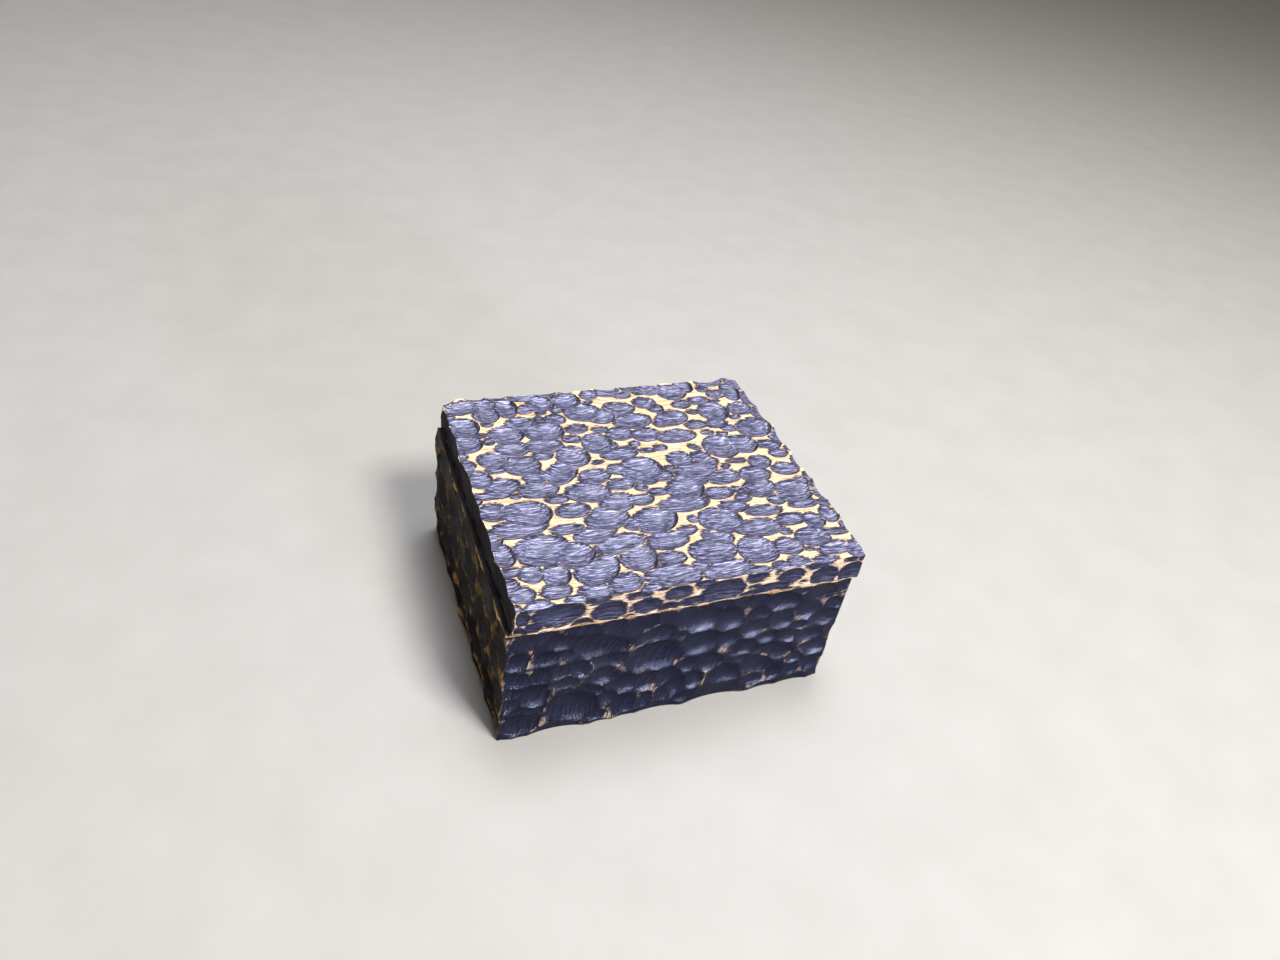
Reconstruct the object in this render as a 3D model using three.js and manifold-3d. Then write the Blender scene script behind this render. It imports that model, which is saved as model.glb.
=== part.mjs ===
// A small wooden box with a hinged lid, its whole outside carved with a gouge.
// Millimetres. X runs left to right, Y front to back, Z up. The origin is on the table, under
// the middle of the box.

import * as THREE from 'three';
import { mergeVertices } from 'three/addons/utils/BufferGeometryUtils.js';
import Module from 'manifold-3d';

// The plan of the whole box: the body and the lid are both this wide and this deep
const boxWidth = 114;
const boxDepth = 101;

// The block that the body is hollowed from
const bodyHeight = 47;
const wallThickness = 10;
const floorThickness = 9;
const cavityCornerRadius = 9;

// The lid, a slab that lies a little to the right of the body
const lidThickness = 10.2;
const lidShift = 2;
const seamGap = 0.3;

// Upright corners of both
const blockCornerRadius = 2.5;

// Gouge cuts, seen square on to a face. Each is an oval, stretched along the face. They are made
// from the largest size down, each wherever it still has room among those before it: a closeness
// under 1 lets it bite into its neighbours. A wider cut is a deeper one. Turns are in degrees. Each
// bowl leans along the face and down it by a share of its depth: gentle where the gouge goes in,
// steep where it comes out.
const topCuts = {
  stretch: 1.25,
  halfWidths: [5.2, 4.6, 4, 3.4, 2.8],
  growth: 1.2,
  closeness: 0.9,
  depthShare: 0.3,
  leanAlong: 0.75,
  leanDown: 0.6,
  tilt: 14,
  tries: 2000,
  sides: 7,
};
const sideCuts = {
  stretch: 1.3,
  halfWidths: [6.4, 5.5, 4.6, 3.8],
  growth: 1.15,
  closeness: 0.76,
  depthShare: 0.21,
  leanAlong: 0.4,
  leanDown: -0.3,
  tilt: 14,
  tries: 900,
  sides: 6,
};
const lidEdgeCuts = {
  stretch: 1.35,
  halfWidths: [5, 4.3, 3.6],
  growth: 1.12,
  closeness: 0.9,
  depthShare: 0.21,
  leanAlong: 0.4,
  leanDown: 0,
  tilt: 14,
  tries: 200,
  sides: 6,
};
// A cut narrower than this from its middle is a plain cone.
const smallCut = 4.5;
// The bowls are this much larger than their places, which leaves narrow ridges.
const cutSpread = 1.13;

// The cuts on the faces in view are placed by hand, and the rest fall in between them. Each is its
// place along and up the face from the middle, its half length, its half width and its turn in
// degrees.
const placedOnTop = [
  [-53, -44.5, 3.8, 3.3, 0], [-56, -41, 3.5, 3.5, 0], [-56, -49.5, 2.4, 2.2, 0],
  [-54, -35.5, 4.5, 2.2, 0], [-48.5, -37, 3.9, 3.8, 0], [-41.5, -39, 4.3, 4.5, 0],
  [-43.5, -45, 4.9, 3.3, 0], [-32.5, -47, 5, 3.2, 0], [-23, -46, 5.7, 3.6, 10],
  [-8, -46, 8.9, 4.6, -5], [-34, -32, 6.2, 5.4, 20], [-29.5, -39.5, 7.1, 5, 12],
  [-25, -36.5, 3.9, 3.5, 20], [-15.5, -37, 5.7, 5.4, 25], [-6, -39, 5, 3.1, 0],
  [-4.5, -31.5, 7.2, 4.1, 3], [-19.5, -30, 8.5, 4, 8], [-25, -24.5, 6.9, 3.8, 12],
  [-33, -21, 5.7, 2.5, 0], [-19.5, -18.5, 7, 5.1, 10], [-12.5, -22.5, 3.7, 3.2, 0],
  [-5, -22, 7.3, 5.7, 15], [-42.5, -28, 8.3, 6.2, 5], [-47.5, -32, 3.2, 1.9, 0],
  [-54.5, -28.5, 3.8, 4.8, 0], [-42.5, -12, 7.2, 5.8, -5], [-52.5, -9.5, 5, 4.2, 0],
  [-47.5, -18, 9.7, 4, 5], [-28.5, -13, 5.5, 3.6, 0], [-32, -7, 4.1, 2.4, 5],
  [-21.5, -5.5, 7.3, 4.9, -8], [-13.5, -12, 6.5, 4.3, 12], [-5.5, -12, 4.5, 3, 10],
  [1, -9, 4.1, 2.4, -5], [-10, -3.5, 5, 3.2, 0], [-0.5, 2, 7.2, 6.9, 0], [5, -1.5, 4.1, 3.2, 0],
  [-8.5, 4, 3.2, 3.2, 0], [10.5, -9.5, 6.4, 5.3, 0], [14, -5.5, 6.9, 3.5, -8],
  [26, -6, 6.5, 3.8, 8], [37.5, -6.5, 5.8, 4.2, 0], [42, -0.5, 4.3, 3.6, 0],
  [49.5, -5.5, 5, 3.6, -8], [35.5, -13.5, 5.9, 4.6, 10], [21, -13.5, 5.4, 3.2, 0],
  [7, -16.5, 9, 4, 3], [46.5, -17, 6.9, 5.6, 5], [52, -12.5, 3, 2.4, -20], [47, -23.5, 6, 2.7, 3],
  [38.5, -20, 3.2, 2.8, 0], [28, -17.5, 3.2, 2.5, 0], [23, -20.5, 5.3, 3.1, -8],
  [32, -24.5, 6.5, 2.8, -3], [16, -26, 7.1, 6, -15], [26.5, -31.5, 8.2, 4.3, -5],
  [7.5, -24, 2.2, 2.1, 0], [3, -28.5, 4.2, 2.3, 8], [12, -33, 5.3, 3.6, -15],
  [8, -38.5, 7.5, 5.3, 0], [9, -47, 8.2, 4.1, 5], [22, -41, 6.6, 5.6, -10],
  [32.5, -41.5, 5.2, 3.9, 0], [42.5, -39, 6, 4.5, -5], [39, -30, 5.5, 2.9, 0],
  [46.5, -32, 3.7, 3.6, 0], [53, -30, 3.3, 4.1, 0], [51, -38, 4.6, 2.2, -12],
  [47, -45, 6.5, 3.2, 3], [54, -47, 3.7, 4.3, 0], [41, -50, 5.8, 2.9, 0], [32, -49, 4.4, 3.2, 0],
  [26, -49.5, 3.2, 2.8, 0], [38.5, -44, 2.4, 1.4, -5], [-51, 45.5, 6.3, 4.1, 15],
  [-43.5, 40.5, 4.5, 5, 0], [-36, 43, 3.8, 5.8, 0], [-42.5, 46, 3.8, 3.2, 0],
  [-52.5, 34, 5.2, 5.4, 0], [-53.5, 25, 5.1, 5, 0], [-23.5, 44, 4.8, 4.8, 0],
  [-30, 41, 3.5, 2.6, 0], [-28.5, 48.5, 5.4, 3, 0], [-14, 44.5, 5.3, 5.1, 10],
  [-33.5, 33.5, 5.4, 3.7, 5], [-39.5, 28, 5.8, 5.2, 0], [-46, 25, 2.2, 2.2, 0],
  [-39.5, 20, 5.6, 4.3, 0], [-26.5, 28, 6.9, 5.4, 0], [-20.5, 34, 3.8, 3.1, -5],
  [-28.5, 20, 6.5, 4.2, 0], [-30.5, 15, 4, 2.6, 5], [-15, 27.5, 4.4, 3, 5], [-7, 26, 3.6, 2.2, -5],
  [-10, 36.5, 6.4, 5.3, -5], [-4.5, 33.5, 5.4, 4.3, 0], [3.5, 37, 6, 4.1, -5],
  [-10.5, 18.5, 5.3, 5.6, 0], [-6, 16.5, 2.4, 2.4, 0], [-20.5, 13, 5.4, 5.6, 30],
  [-46.5, 15.5, 5.6, 4.3, 0], [-47.5, 10.5, 3.5, 2.4, 0], [-38.5, 11, 5.9, 4.8, 0],
  [-55.5, 13.5, 2.7, 3.1, 0], [-53.5, 6.5, 4.1, 4.3, 0], [-35.5, 5, 4.2, 3.7, 0],
  [-27, 5.5, 6.9, 4.6, 40], [-47, 2, 5.9, 3.9, 5], [-51, -1.5, 6.8, 2.6, 0],
  [-36.5, -1.5, 6.5, 4.2, 5], [-17, 2, 5.7, 3.8, 8], [-13.5, 8.5, 2.5, 1.6, 10],
  [-4.5, 12, 7, 3.5, 10], [-1, 22.5, 5, 4, 0], [-4.5, 46.5, 3.7, 3.1, 0], [3, 48, 4.8, 3.9, 0],
  [7.5, 45, 3.7, 2.7, 0], [19.5, 47.5, 5.1, 4.3, 0], [12.5, 49.5, 4.3, 3.2, 0],
  [14.5, 46, 2.8, 2.2, 0], [27, 44, 5.6, 4.8, 15], [32.5, 47, 3.7, 4.3, 0], [32, 52.5, 6.5, 3.2, 0],
  [44, 49.5, 5.7, 4.3, 10], [49.5, 41, 3.7, 5.4, 0], [43, 40.5, 3.5, 3.1, 0], [14, 39, 4.3, 3.7, 0],
  [17, 35, 3.1, 2.8, 0], [27.5, 36, 4, 2.9, 0], [35, 37.5, 4.6, 3, 0], [6, 29, 7.1, 4.6, 5],
  [20.5, 28.5, 6.5, 4.5, 10], [15.5, 26, 3, 2.6, 0], [38, 30, 5.8, 5.6, 0], [49, 30.5, 4.6, 4.3, 0],
  [28, 23.5, 4.4, 2.6, 5], [36, 23, 4.5, 2.8, 0], [39.5, 19.5, 3.7, 2.4, -15],
  [8, 20.5, 5.7, 3.9, -5], [18.5, 18, 7.6, 3.9, 5], [49, 18.5, 6.7, 5.6, 15], [32, 10, 6.4, 6.2, 0],
  [40, 10, 6, 5.1, -10], [50, 8, 4.6, 2.9, -5], [51, 3, 3.8, 2.7, 0], [5, 12, 3.7, 1.9, 0],
  [14.5, 6, 4.4, 4, 0], [22.5, 6, 4, 2.9, 0], [22.5, 11, 2.6, 1.9, -30], [23.5, 2.5, 4.6, 3, -5],
  [18, -0.5, 8, 4.2, 5], [34, 1.5, 4.1, 1.9, 0],
];
const placedOnFront = [
  [-51, 20, 5, 4, 0], [-45, 21, 3.3, 2.9, 0], [-39, 18, 5.5, 3.1, 0], [-34.5, 22, 5.5, 2.9, 0],
  [-29, 13.5, 7.5, 5.1, -8], [-52.5, 12.5, 4.8, 3.7, 0], [-44, 11.5, 5.3, 3.1, 0],
  [-37.5, 12, 4, 2.6, 0], [-23.5, 20, 4.2, 4.4, 0], [-15, 19, 5.9, 5.3, 0],
  [-9.5, 13.5, 6.4, 4.1, 0], [-7, 20.5, 3.7, 4, 0], [-1, 20, 4.8, 4.4, 0], [-8.5, 3.5, 9.5, 6.9, 0],
  [-24, 6, 7, 3.6, 0], [-25, -0.5, 4.3, 4, 0], [-32.5, 4, 4.4, 3.9, 0], [-52.5, 4, 4.7, 3.3, 0],
  [-45, 3.5, 4.2, 3.3, 0], [-38.5, 4.5, 3.7, 3.1, 0], [-37, -1, 4.3, 3.3, 0],
  [-46, -4.5, 5.5, 5.1, 0], [-53.5, -7, 3.3, 3.2, 0], [-34, -13.5, 8.4, 7.6, 0],
  [-49.5, -17.5, 7.3, 5.5, 0], [-49.5, -11, 3.7, 2, 0], [-17.5, -7, 5.9, 4.3, 0],
  [-10, -7.5, 5.3, 4.6, 0], [-22, -12, 3.3, 3.5, 0], [-15.5, -17.5, 5.3, 5.1, 0],
  [-9, -17, 3.7, 4.2, 0], [-2.5, -7.5, 4.7, 4.7, 0], [-2.5, -16, 4.1, 4.4, 0],
  [-25.5, -19.5, 4.4, 3.1, 0], [4.5, 17, 6.8, 5.5, 0], [14.5, 15, 5.7, 5.1, 0],
  [17.5, 22, 3.5, 3.5, 0], [23, 21, 3.6, 3.9, 0], [25, 15, 5.1, 4, 0], [31.5, 18.5, 6.8, 4.2, -5],
  [45.5, 19.5, 6.4, 4.4, -8], [43, 12.5, 6.2, 4.7, 0], [34.5, 10.5, 5.7, 4.4, 0],
  [24.5, 8.5, 5.9, 4.2, 0], [6, 6, 7.3, 5, 0], [17, 5.5, 4.8, 4.2, 0], [22.5, -0.5, 5.1, 4, 0],
  [10.5, -4.5, 5.3, 4.1, 0], [3, -3.5, 4.1, 3.3, 0], [36, -5.5, 6.6, 4.2, -25],
  [38.5, 1, 4.6, 3.3, 0], [50, 7.5, 5.5, 4.4, 0], [52, 13.5, 4.6, 3.5, 0], [47, 0, 5.7, 4.1, 0],
  [50.5, -6.5, 5.7, 4.2, 0], [51.5, -15, 5.1, 4.1, 0], [18, -12.5, 6.6, 5.3, 0],
  [29.5, -10.5, 6.8, 4.8, -15], [7, -11.5, 3.9, 4.6, 0], [0.5, -13.5, 4.4, 5.1, 0],
  [30.5, -17.5, 5.5, 3.5, 0], [37, -17, 4.2, 3.3, 0], [44.5, -17, 4.2, 3.5, 0],
  [43.5, -10, 3.7, 3.1, -20], [54, 22.5, 3.7, 3.3, 0], [38, 23, 4, 2.9, 0],
  [4.5, -19.5, 4.4, 2.4, 0],
];
const placedOnLidFront = [
  [-54.5, 1.5, 3, 3.4, 0], [-43.5, 1, 8.2, 4.9, 0], [-50.5, -2.5, 3.6, 2.4, 15],
  [-28.5, -1, 5.4, 4.1, 0], [-20, 3.5, 4.8, 2, -3], [-17, -1.5, 5.5, 3.2, 0],
  [-7.5, 1.5, 4.8, 3.2, 0], [-2, -3, 5.5, 2.5, 0], [7.5, -1, 7.4, 5, 0], [18, 3, 4.1, 2.8, 0],
  [18, -1, 3, 1.5, 0], [24.5, -3.5, 7.2, 3.1, 0], [30, 1, 5.1, 3.2, 0], [35.5, -2.5, 2.1, 1.2, 0],
  [42.5, -1.5, 5, 4.3, 0], [52.5, -2, 5.2, 4.5, 0],
];

// Two brass butt hinges, let in flush at the back, each some way in from an end of the seam
const hingeInset = 15;
const hingeLength = 20;
const leafWidth = 8;
const leafThickness = 1;
const knuckleRadius = 1.8;
const knuckleGap = 0.3;
const middleKnuckleLength = 6.6;
const pinRadius = 0.8;
const pinClearance = 0.06;
const pinStandOff = 0.6;
const leafFit = 0.15;
const knuckleFit = 0.4;

// Their countersunk screws, two in each leaf
const screwSpread = 12;
const screwInset = 3.9;
const screwLength = 6;
const screwRadius = 0.85;
const screwHeadRadius = 1.7;
const screwHeadHeight = 0.8;
const screwFit = 0.12;

// Places worked out from the sizes above
const bodyX = -lidShift / 2;
const lidX = lidShift / 2;
const seamBottom = bodyHeight;
const seamTop = bodyHeight + seamGap;
const pinZ = bodyHeight + seamGap / 2;
const knuckleReach = pinStandOff + knuckleRadius;
const boxY = -knuckleReach / 2;
const backY = boxY + boxDepth / 2;
const pinY = backY + pinStandOff;
const seamWidth = boxWidth - lidShift;

const wood = { color: 0x4b4453, roughness: 0.45, metalness: 0 };
const brass = { color: 0xb8924a, roughness: 0.35, metalness: 1 };

const wasm = await Module();
wasm.setup();

// Turns a closed three.js geometry into a solid that can be cut.
function toSolid(geometry) {
  const bare = geometry.clone();
  bare.deleteAttribute('normal');
  bare.deleteAttribute('uv');
  const welded = mergeVertices(bare, 1e-5);
  const corners = [];
  for (let i = 0; i < welded.index.count; i += 3) {
    const a = welded.index.getX(i);
    const b = welded.index.getX(i + 1);
    const c = welded.index.getX(i + 2);
    if (a !== b && b !== c && c !== a) {
      corners.push(a, b, c);
    }
  }
  return new wasm.Manifold(new wasm.Mesh({
    numProp: 3,
    vertProperties: new Float32Array(welded.attributes.position.array),
    triVerts: new Uint32Array(corners),
  }));
}

function toGeometry(solid) {
  const mesh = solid.getMesh();
  const geometry = new THREE.BufferGeometry();
  geometry.setAttribute('position', new THREE.BufferAttribute(new Float32Array(mesh.vertProperties), 3));
  geometry.setIndex(new THREE.BufferAttribute(new Uint32Array(mesh.triVerts), 1));
  geometry.computeVertexNormals();
  return geometry;
}

// A box between two opposite corners.
function block(low, high) {
  const size = high.map((value, axis) => value - low[axis]);
  const geometry = new THREE.BoxGeometry(...size);
  geometry.translate(...low.map((value, axis) => value + size[axis] / 2));
  return toSolid(geometry);
}

// An upright slab with rounded corners, from one height to another.
function roundedSlab(x, y, width, depth, radius, bottom, top, stepsPerCorner) {
  const right = width / 2;
  const back = depth / 2;
  const outline = new THREE.Shape();
  outline.moveTo(-right + radius, -back);
  outline.lineTo(right - radius, -back);
  outline.absarc(right - radius, -back + radius, radius, -Math.PI / 2, 0);
  outline.lineTo(right, back - radius);
  outline.absarc(right - radius, back - radius, radius, 0, Math.PI / 2);
  outline.lineTo(-right + radius, back);
  outline.absarc(-right + radius, back - radius, radius, Math.PI / 2, Math.PI);
  outline.lineTo(-right, -back + radius);
  outline.absarc(-right + radius, -back + radius, radius, Math.PI, Math.PI * 1.5);
  const geometry = new THREE.ExtrudeGeometry(outline, {
    depth: top - bottom,
    bevelEnabled: false,
    curveSegments: stepsPerCorner,
  });
  geometry.translate(x, y, bottom);
  return toSolid(geometry);
}

// A turned shape from [radius, height] pairs that start and end on the axis.
function turned(profile, sides) {
  const points = profile.map(([radius, height]) => new THREE.Vector2(radius, height));
  return new THREE.LatheGeometry(points, sides);
}

// A repeatable run of numbers between 0 and 1, so that the carving comes out alike each time.
function makeSequence(seed) {
  let state = seed;
  return () => {
    state = (state * 16807) % 2147483647;
    return state / 2147483647;
  };
}

// Lays out one face's cuts: the placed ones, then smaller and smaller ones wherever there is room.
// Distances are taken with the face squeezed along its length, so that the ovals are round.
function layOutCuts(across, up, style, placed, seed) {
  const next = makeSequence(seed);
  const between = (low, high) => low + (high - low) * next();
  const cuts = [];
  const add = (along, height, halfLength, halfWidth, turn) => cuts.push({
    along,
    height,
    halfLength,
    halfWidth,
    turn,
    reach: Math.sqrt((halfLength * halfWidth) / style.stretch),
    depth: style.depthShare * halfWidth,
  });
  placed.forEach((cut) => add(...cut));
  for (const least of style.halfWidths) {
    for (let attempt = 0; attempt < style.tries; attempt += 1) {
      const along = between(-(across + least) / 2, (across + least) / 2);
      const height = between(-up / 2 - least / 3, up / 2 + least / 3);
      let room = least * style.growth;
      for (const cut of cuts) {
        const away = (along - cut.along) / style.stretch;
        const above = height - cut.height;
        const distance = Math.sqrt(away * away + above * above);
        room = Math.min(room, distance - cut.reach * style.closeness);
      }
      if (room >= least) {
        const halfLength = room * style.stretch * between(0.95, 1.12);
        const halfWidth = room * between(0.95, 1.1);
        add(along, height, halfLength, halfWidth, between(-style.tilt, style.tilt));
      }
    }
  }
  return cuts;
}

// One gouge cut as a solid to take away: a shallow bowl that goes on rising past its rim, so that
// it leaves the wood cleanly. The bowl's depth falls off with the square of the way to the rim.
function gougeCut(face, cut, style) {
  const inner = 0.6;
  const outer = 1.15;
  const rise = (reach) => cut.depth * (reach * reach - 1);
  const bowl = cut.halfWidth < smallCut ? [] : [[inner, rise(inner)]];
  const geometry = turned([[0, rise(0)], ...bowl, [outer, rise(outer)], [0, rise(outer)]], style.sides);
  geometry.rotateX(Math.PI / 2);
  geometry.scale(cut.halfLength * cutSpread, cut.halfWidth * cutSpread, 1);
  geometry.rotateZ(THREE.MathUtils.degToRad(cut.turn));
  const lean = new THREE.Matrix4().makeShear(0, 0, 0, 0, -style.leanAlong, style.leanDown);
  geometry.applyMatrix4(lean);
  geometry.translate(cut.along, cut.height, 0);
  geometry.applyMatrix4(face);
  return toSolid(geometry);
}

// A face's own axes: across, up, and out of the wood.
function faceAxes(across, up, out, middle) {
  const matrix = new THREE.Matrix4();
  matrix.makeBasis(new THREE.Vector3(...across), new THREE.Vector3(...up), new THREE.Vector3(...out));
  matrix.setPosition(...middle);
  return matrix;
}

// The four upright faces of a block, from its middle and its size.
function uprightFaces(x, y, z, width, depth) {
  return [
    { name: 'front', across: width, axes: faceAxes([1, 0, 0], [0, 0, 1], [0, -1, 0], [x, y - depth / 2, z]) },
    { name: 'right', across: depth, axes: faceAxes([0, 1, 0], [0, 0, 1], [1, 0, 0], [x + width / 2, y, z]) },
    { name: 'back', across: width, axes: faceAxes([-1, 0, 0], [0, 0, 1], [0, 1, 0], [x, y + depth / 2, z]) },
    { name: 'left', across: depth, axes: faceAxes([0, -1, 0], [0, 0, 1], [-1, 0, 0], [x - width / 2, y, z]) },
  ];
}

// Takes one face's cuts out of a block.
function carve(solid, face, across, up, style, placed, seed) {
  let carved = solid;
  for (const cut of layOutCuts(across, up, style, placed, seed)) {
    carved = carved.subtract(gougeCut(face, cut, style));
  }
  return carved;
}

// The middles of the two hinges along X.
const hingeToMiddle = seamWidth / 2 - hingeInset - hingeLength / 2;
const hinges = [
  { name: 'left', x: -hingeToMiddle },
  { name: 'right', x: hingeToMiddle },
];

// The recess for a leaf and its knuckles: side is -1 below the seam and 1 above it.
function hingeRecess(x, side) {
  const seam = side < 0 ? seamBottom : seamTop;
  const half = hingeLength / 2 + leafFit;
  const leafFloor = seam + side * leafThickness;
  const knuckleFloor = pinZ + side * (knuckleRadius + knuckleFit);
  const past = knuckleReach + 1;
  const opening = seam - side;
  const leaf = block(
    [x - half, pinY - leafWidth - leafFit, Math.min(leafFloor, opening)],
    [x + half, backY + past, Math.max(leafFloor, opening)],
  );
  const knuckles = block(
    [x - half, pinY - knuckleRadius - knuckleFit, Math.min(knuckleFloor, opening)],
    [x + half, backY + past, Math.max(knuckleFloor, opening)],
  );
  return leaf.add(knuckles);
}

// The screws' places in one leaf.
function screwPlaces(x) {
  return [-1, 1].map((end) => [x + (end * screwSpread) / 2, pinY - leafWidth + screwInset]);
}

// A turned solid that stands on the seam at a screw's place and points into the wood.
function atScrew(profile, place, side, sides) {
  const seam = side < 0 ? seamBottom : seamTop;
  const geometry = turned(profile, sides);
  geometry.rotateX(side < 0 ? Math.PI / 2 : -Math.PI / 2);
  geometry.translate(place[0], place[1], seam);
  return toSolid(geometry);
}

// The pilot hole in the wood, a little wider and deeper than the screw.
function pilotHole(place, side) {
  const radius = screwRadius + 2 * screwFit;
  const deep = screwLength + 2 * screwFit;
  return atScrew([[0, -deep], [radius, -deep], [radius, 1], [0, 1]], place, side, 8);
}

// The countersunk hole through a leaf.
function countersink(place, side) {
  const shank = screwRadius + 2 * screwFit;
  const head = screwHeadRadius + screwFit;
  const past = 1;
  return atScrew([
    [0, -leafThickness - past],
    [shank, -leafThickness - past],
    [shank, -screwHeadHeight - screwFit],
    [head, 0],
    [head, past],
    [0, past],
  ], place, side, 8);
}

function screw(place, side) {
  return atScrew([
    [0, -screwLength],
    [screwRadius, -screwLength + 2 * screwRadius],
    [screwRadius, -screwHeadHeight],
    [screwHeadRadius, -screwFit],
    [0, -screwFit],
  ], place, side, 8);
}

// A round bar along the hinge line between two places.
function barAlongX(radius, from, to, sides) {
  const geometry = new THREE.CylinderGeometry(radius, radius, to - from, sides);
  geometry.rotateZ(Math.PI / 2);
  geometry.translate((from + to) / 2, pinY, pinZ);
  return toSolid(geometry);
}

// A leaf: a flat plate with its knuckles rolled on, bored for the pin and countersunk.
// knuckles lists the stretches along X that carry a knuckle, and gaps the ones left for the other
// leaf's.
function leafSolid(x, side, knuckles, gaps) {
  const seam = side < 0 ? seamBottom : seamTop;
  const outer = seam + side * leafThickness;
  let leaf = block(
    [x - hingeLength / 2, pinY - leafWidth, Math.min(seam, outer)],
    [x + hingeLength / 2, pinY, Math.max(seam, outer)],
  );
  for (const [from, to] of gaps) {
    leaf = leaf.subtract(block(
      [from, pinY - knuckleRadius - knuckleFit / 2, pinZ - knuckleReach],
      [to, pinY + knuckleReach, pinZ + knuckleReach],
    ));
  }
  for (const [from, to] of knuckles) {
    leaf = leaf.add(barAlongX(knuckleRadius, from, to, 12));
  }
  const boreSides = 8;
  const boreRadius = (pinRadius + pinClearance) / Math.cos(Math.PI / boreSides);
  leaf = leaf.subtract(barAlongX(boreRadius, x - hingeLength, x + hingeLength, boreSides));
  for (const place of screwPlaces(x)) {
    leaf = leaf.subtract(countersink(place, side));
  }
  return leaf;
}

// Knuckle stretches: the lid leaf has the middle one, the body leaf the two ends.
function knuckleStretches(x) {
  const half = middleKnuckleLength / 2;
  const end = hingeLength / 2;
  return {
    middle: [[x - half, x + half]],
    ends: [[x - end, x - half - knuckleGap], [x + half + knuckleGap, x + end]],
    middleGap: [[x - half - knuckleGap, x + half + knuckleGap]],
    endGaps: [[x - end - 1, x - half], [x + half, x + end + 1]],
  };
}

// The body: a block, carved on its four sides and hollowed from the top.
function boxBody() {
  let solid = roundedSlab(bodyX, boxY, boxWidth, boxDepth, blockCornerRadius, 0, bodyHeight, 3);
  uprightFaces(bodyX, boxY, bodyHeight / 2, boxWidth, boxDepth).forEach((face, index) => {
    const placed = face.name === 'front' ? placedOnFront : [];
    solid = carve(solid, face.axes, face.across, bodyHeight, sideCuts, placed, 101 + index);
  });
  solid = solid.subtract(roundedSlab(
    bodyX,
    boxY,
    boxWidth - 2 * wallThickness,
    boxDepth - 2 * wallThickness,
    cavityCornerRadius,
    floorThickness,
    bodyHeight + 1,
    6,
  ));
  for (const hinge of hinges) {
    solid = solid.subtract(hingeRecess(hinge.x, -1));
    for (const place of screwPlaces(hinge.x)) {
      solid = solid.subtract(pilotHole(place, -1));
    }
  }
  return solid;
}

// The lid: a slab, carved on top and round its edges.
function boxLid() {
  const lidTop = seamTop + lidThickness;
  const lidMiddle = seamTop + lidThickness / 2;
  let solid = roundedSlab(lidX, boxY, boxWidth, boxDepth, blockCornerRadius, seamTop, lidTop, 3);
  const topAxes = faceAxes([1, 0, 0], [0, 1, 0], [0, 0, 1], [lidX, boxY, lidTop]);
  solid = carve(solid, topAxes, boxWidth, boxDepth, topCuts, placedOnTop, 7);
  uprightFaces(lidX, boxY, lidMiddle, boxWidth, boxDepth).forEach((face, index) => {
    const placed = face.name === 'front' ? placedOnLidFront : [];
    solid = carve(solid, face.axes, face.across, lidThickness, lidEdgeCuts, placed, 201 + index);
  });
  for (const hinge of hinges) {
    solid = solid.subtract(hingeRecess(hinge.x, 1));
    for (const place of screwPlaces(hinge.x)) {
      solid = solid.subtract(pilotHole(place, 1));
    }
  }
  return solid;
}

function addPiece(parent, name, solid, look) {
  const piece = new THREE.Mesh(toGeometry(solid), new THREE.MeshStandardMaterial(look));
  piece.name = name;
  parent.add(piece);
}

const box = new THREE.Group();
const lid = new THREE.Group();
box.add(lid);
addPiece(box, 'box_body', boxBody(), wood);
addPiece(lid, 'lid', boxLid(), wood);
for (const hinge of hinges) {
  const stretches = knuckleStretches(hinge.x);
  const half = hingeLength / 2;
  const name = `hinge_${hinge.name}`;
  addPiece(box, `${name}_body_leaf`, leafSolid(hinge.x, -1, stretches.ends, stretches.middleGap), brass);
  addPiece(lid, `${name}_lid_leaf`, leafSolid(hinge.x, 1, stretches.middle, stretches.endGaps), brass);
  addPiece(box, `${name}_pin`, barAlongX(pinRadius, hinge.x - half, hinge.x + half, 8), brass);
  screwPlaces(hinge.x).forEach((place, index) => {
    addPiece(box, `${name}_body_screw_${index + 1}`, screw(place, -1), brass);
    addPiece(lid, `${name}_lid_screw_${index + 1}`, screw(place, 1), brass);
  });
}

export default box;
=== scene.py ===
import math

import bpy
from mathutils import Matrix, Vector, noise


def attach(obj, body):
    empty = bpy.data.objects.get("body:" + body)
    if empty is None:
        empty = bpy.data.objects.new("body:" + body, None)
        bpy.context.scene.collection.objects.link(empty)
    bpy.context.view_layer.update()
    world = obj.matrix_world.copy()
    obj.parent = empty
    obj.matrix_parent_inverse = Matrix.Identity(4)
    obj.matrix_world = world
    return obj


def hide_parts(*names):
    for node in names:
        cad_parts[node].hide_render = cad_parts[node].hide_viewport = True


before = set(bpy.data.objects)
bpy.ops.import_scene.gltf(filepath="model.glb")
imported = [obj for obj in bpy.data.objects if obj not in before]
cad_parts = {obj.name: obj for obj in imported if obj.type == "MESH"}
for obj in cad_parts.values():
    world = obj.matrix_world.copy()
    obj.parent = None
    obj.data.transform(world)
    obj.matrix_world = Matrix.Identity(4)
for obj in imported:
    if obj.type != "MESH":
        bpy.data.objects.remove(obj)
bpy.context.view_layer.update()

# The body: one block of pine with its grain running from front to back, so that the front and the
# back are end grain. Its four sides were gouged all over, scorched and stained nearly black, and
# sanded back until the ridges between the gouge cuts came out pale.
mm = 0.001
box_width = 114
box_depth = 101
half_x, half_y = box_width / 2, box_depth / 2
body_height = 47
corner_radius = 2.5
box_y = -1.2
body_x = -1
wall = 10
floor_thickness = 9
cavity_corner = 9
cavity_floor_fillet = 1.2
rim_chamfer = 0.4
# Two places less than a hair apart count as the same, in millimetres.
hair = 0.001


def pick(piece):
    """Selects one object and nothing else."""
    bpy.ops.object.select_all(action="DESELECT")
    piece.select_set(True)
    bpy.context.view_layer.objects.active = piece


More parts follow.
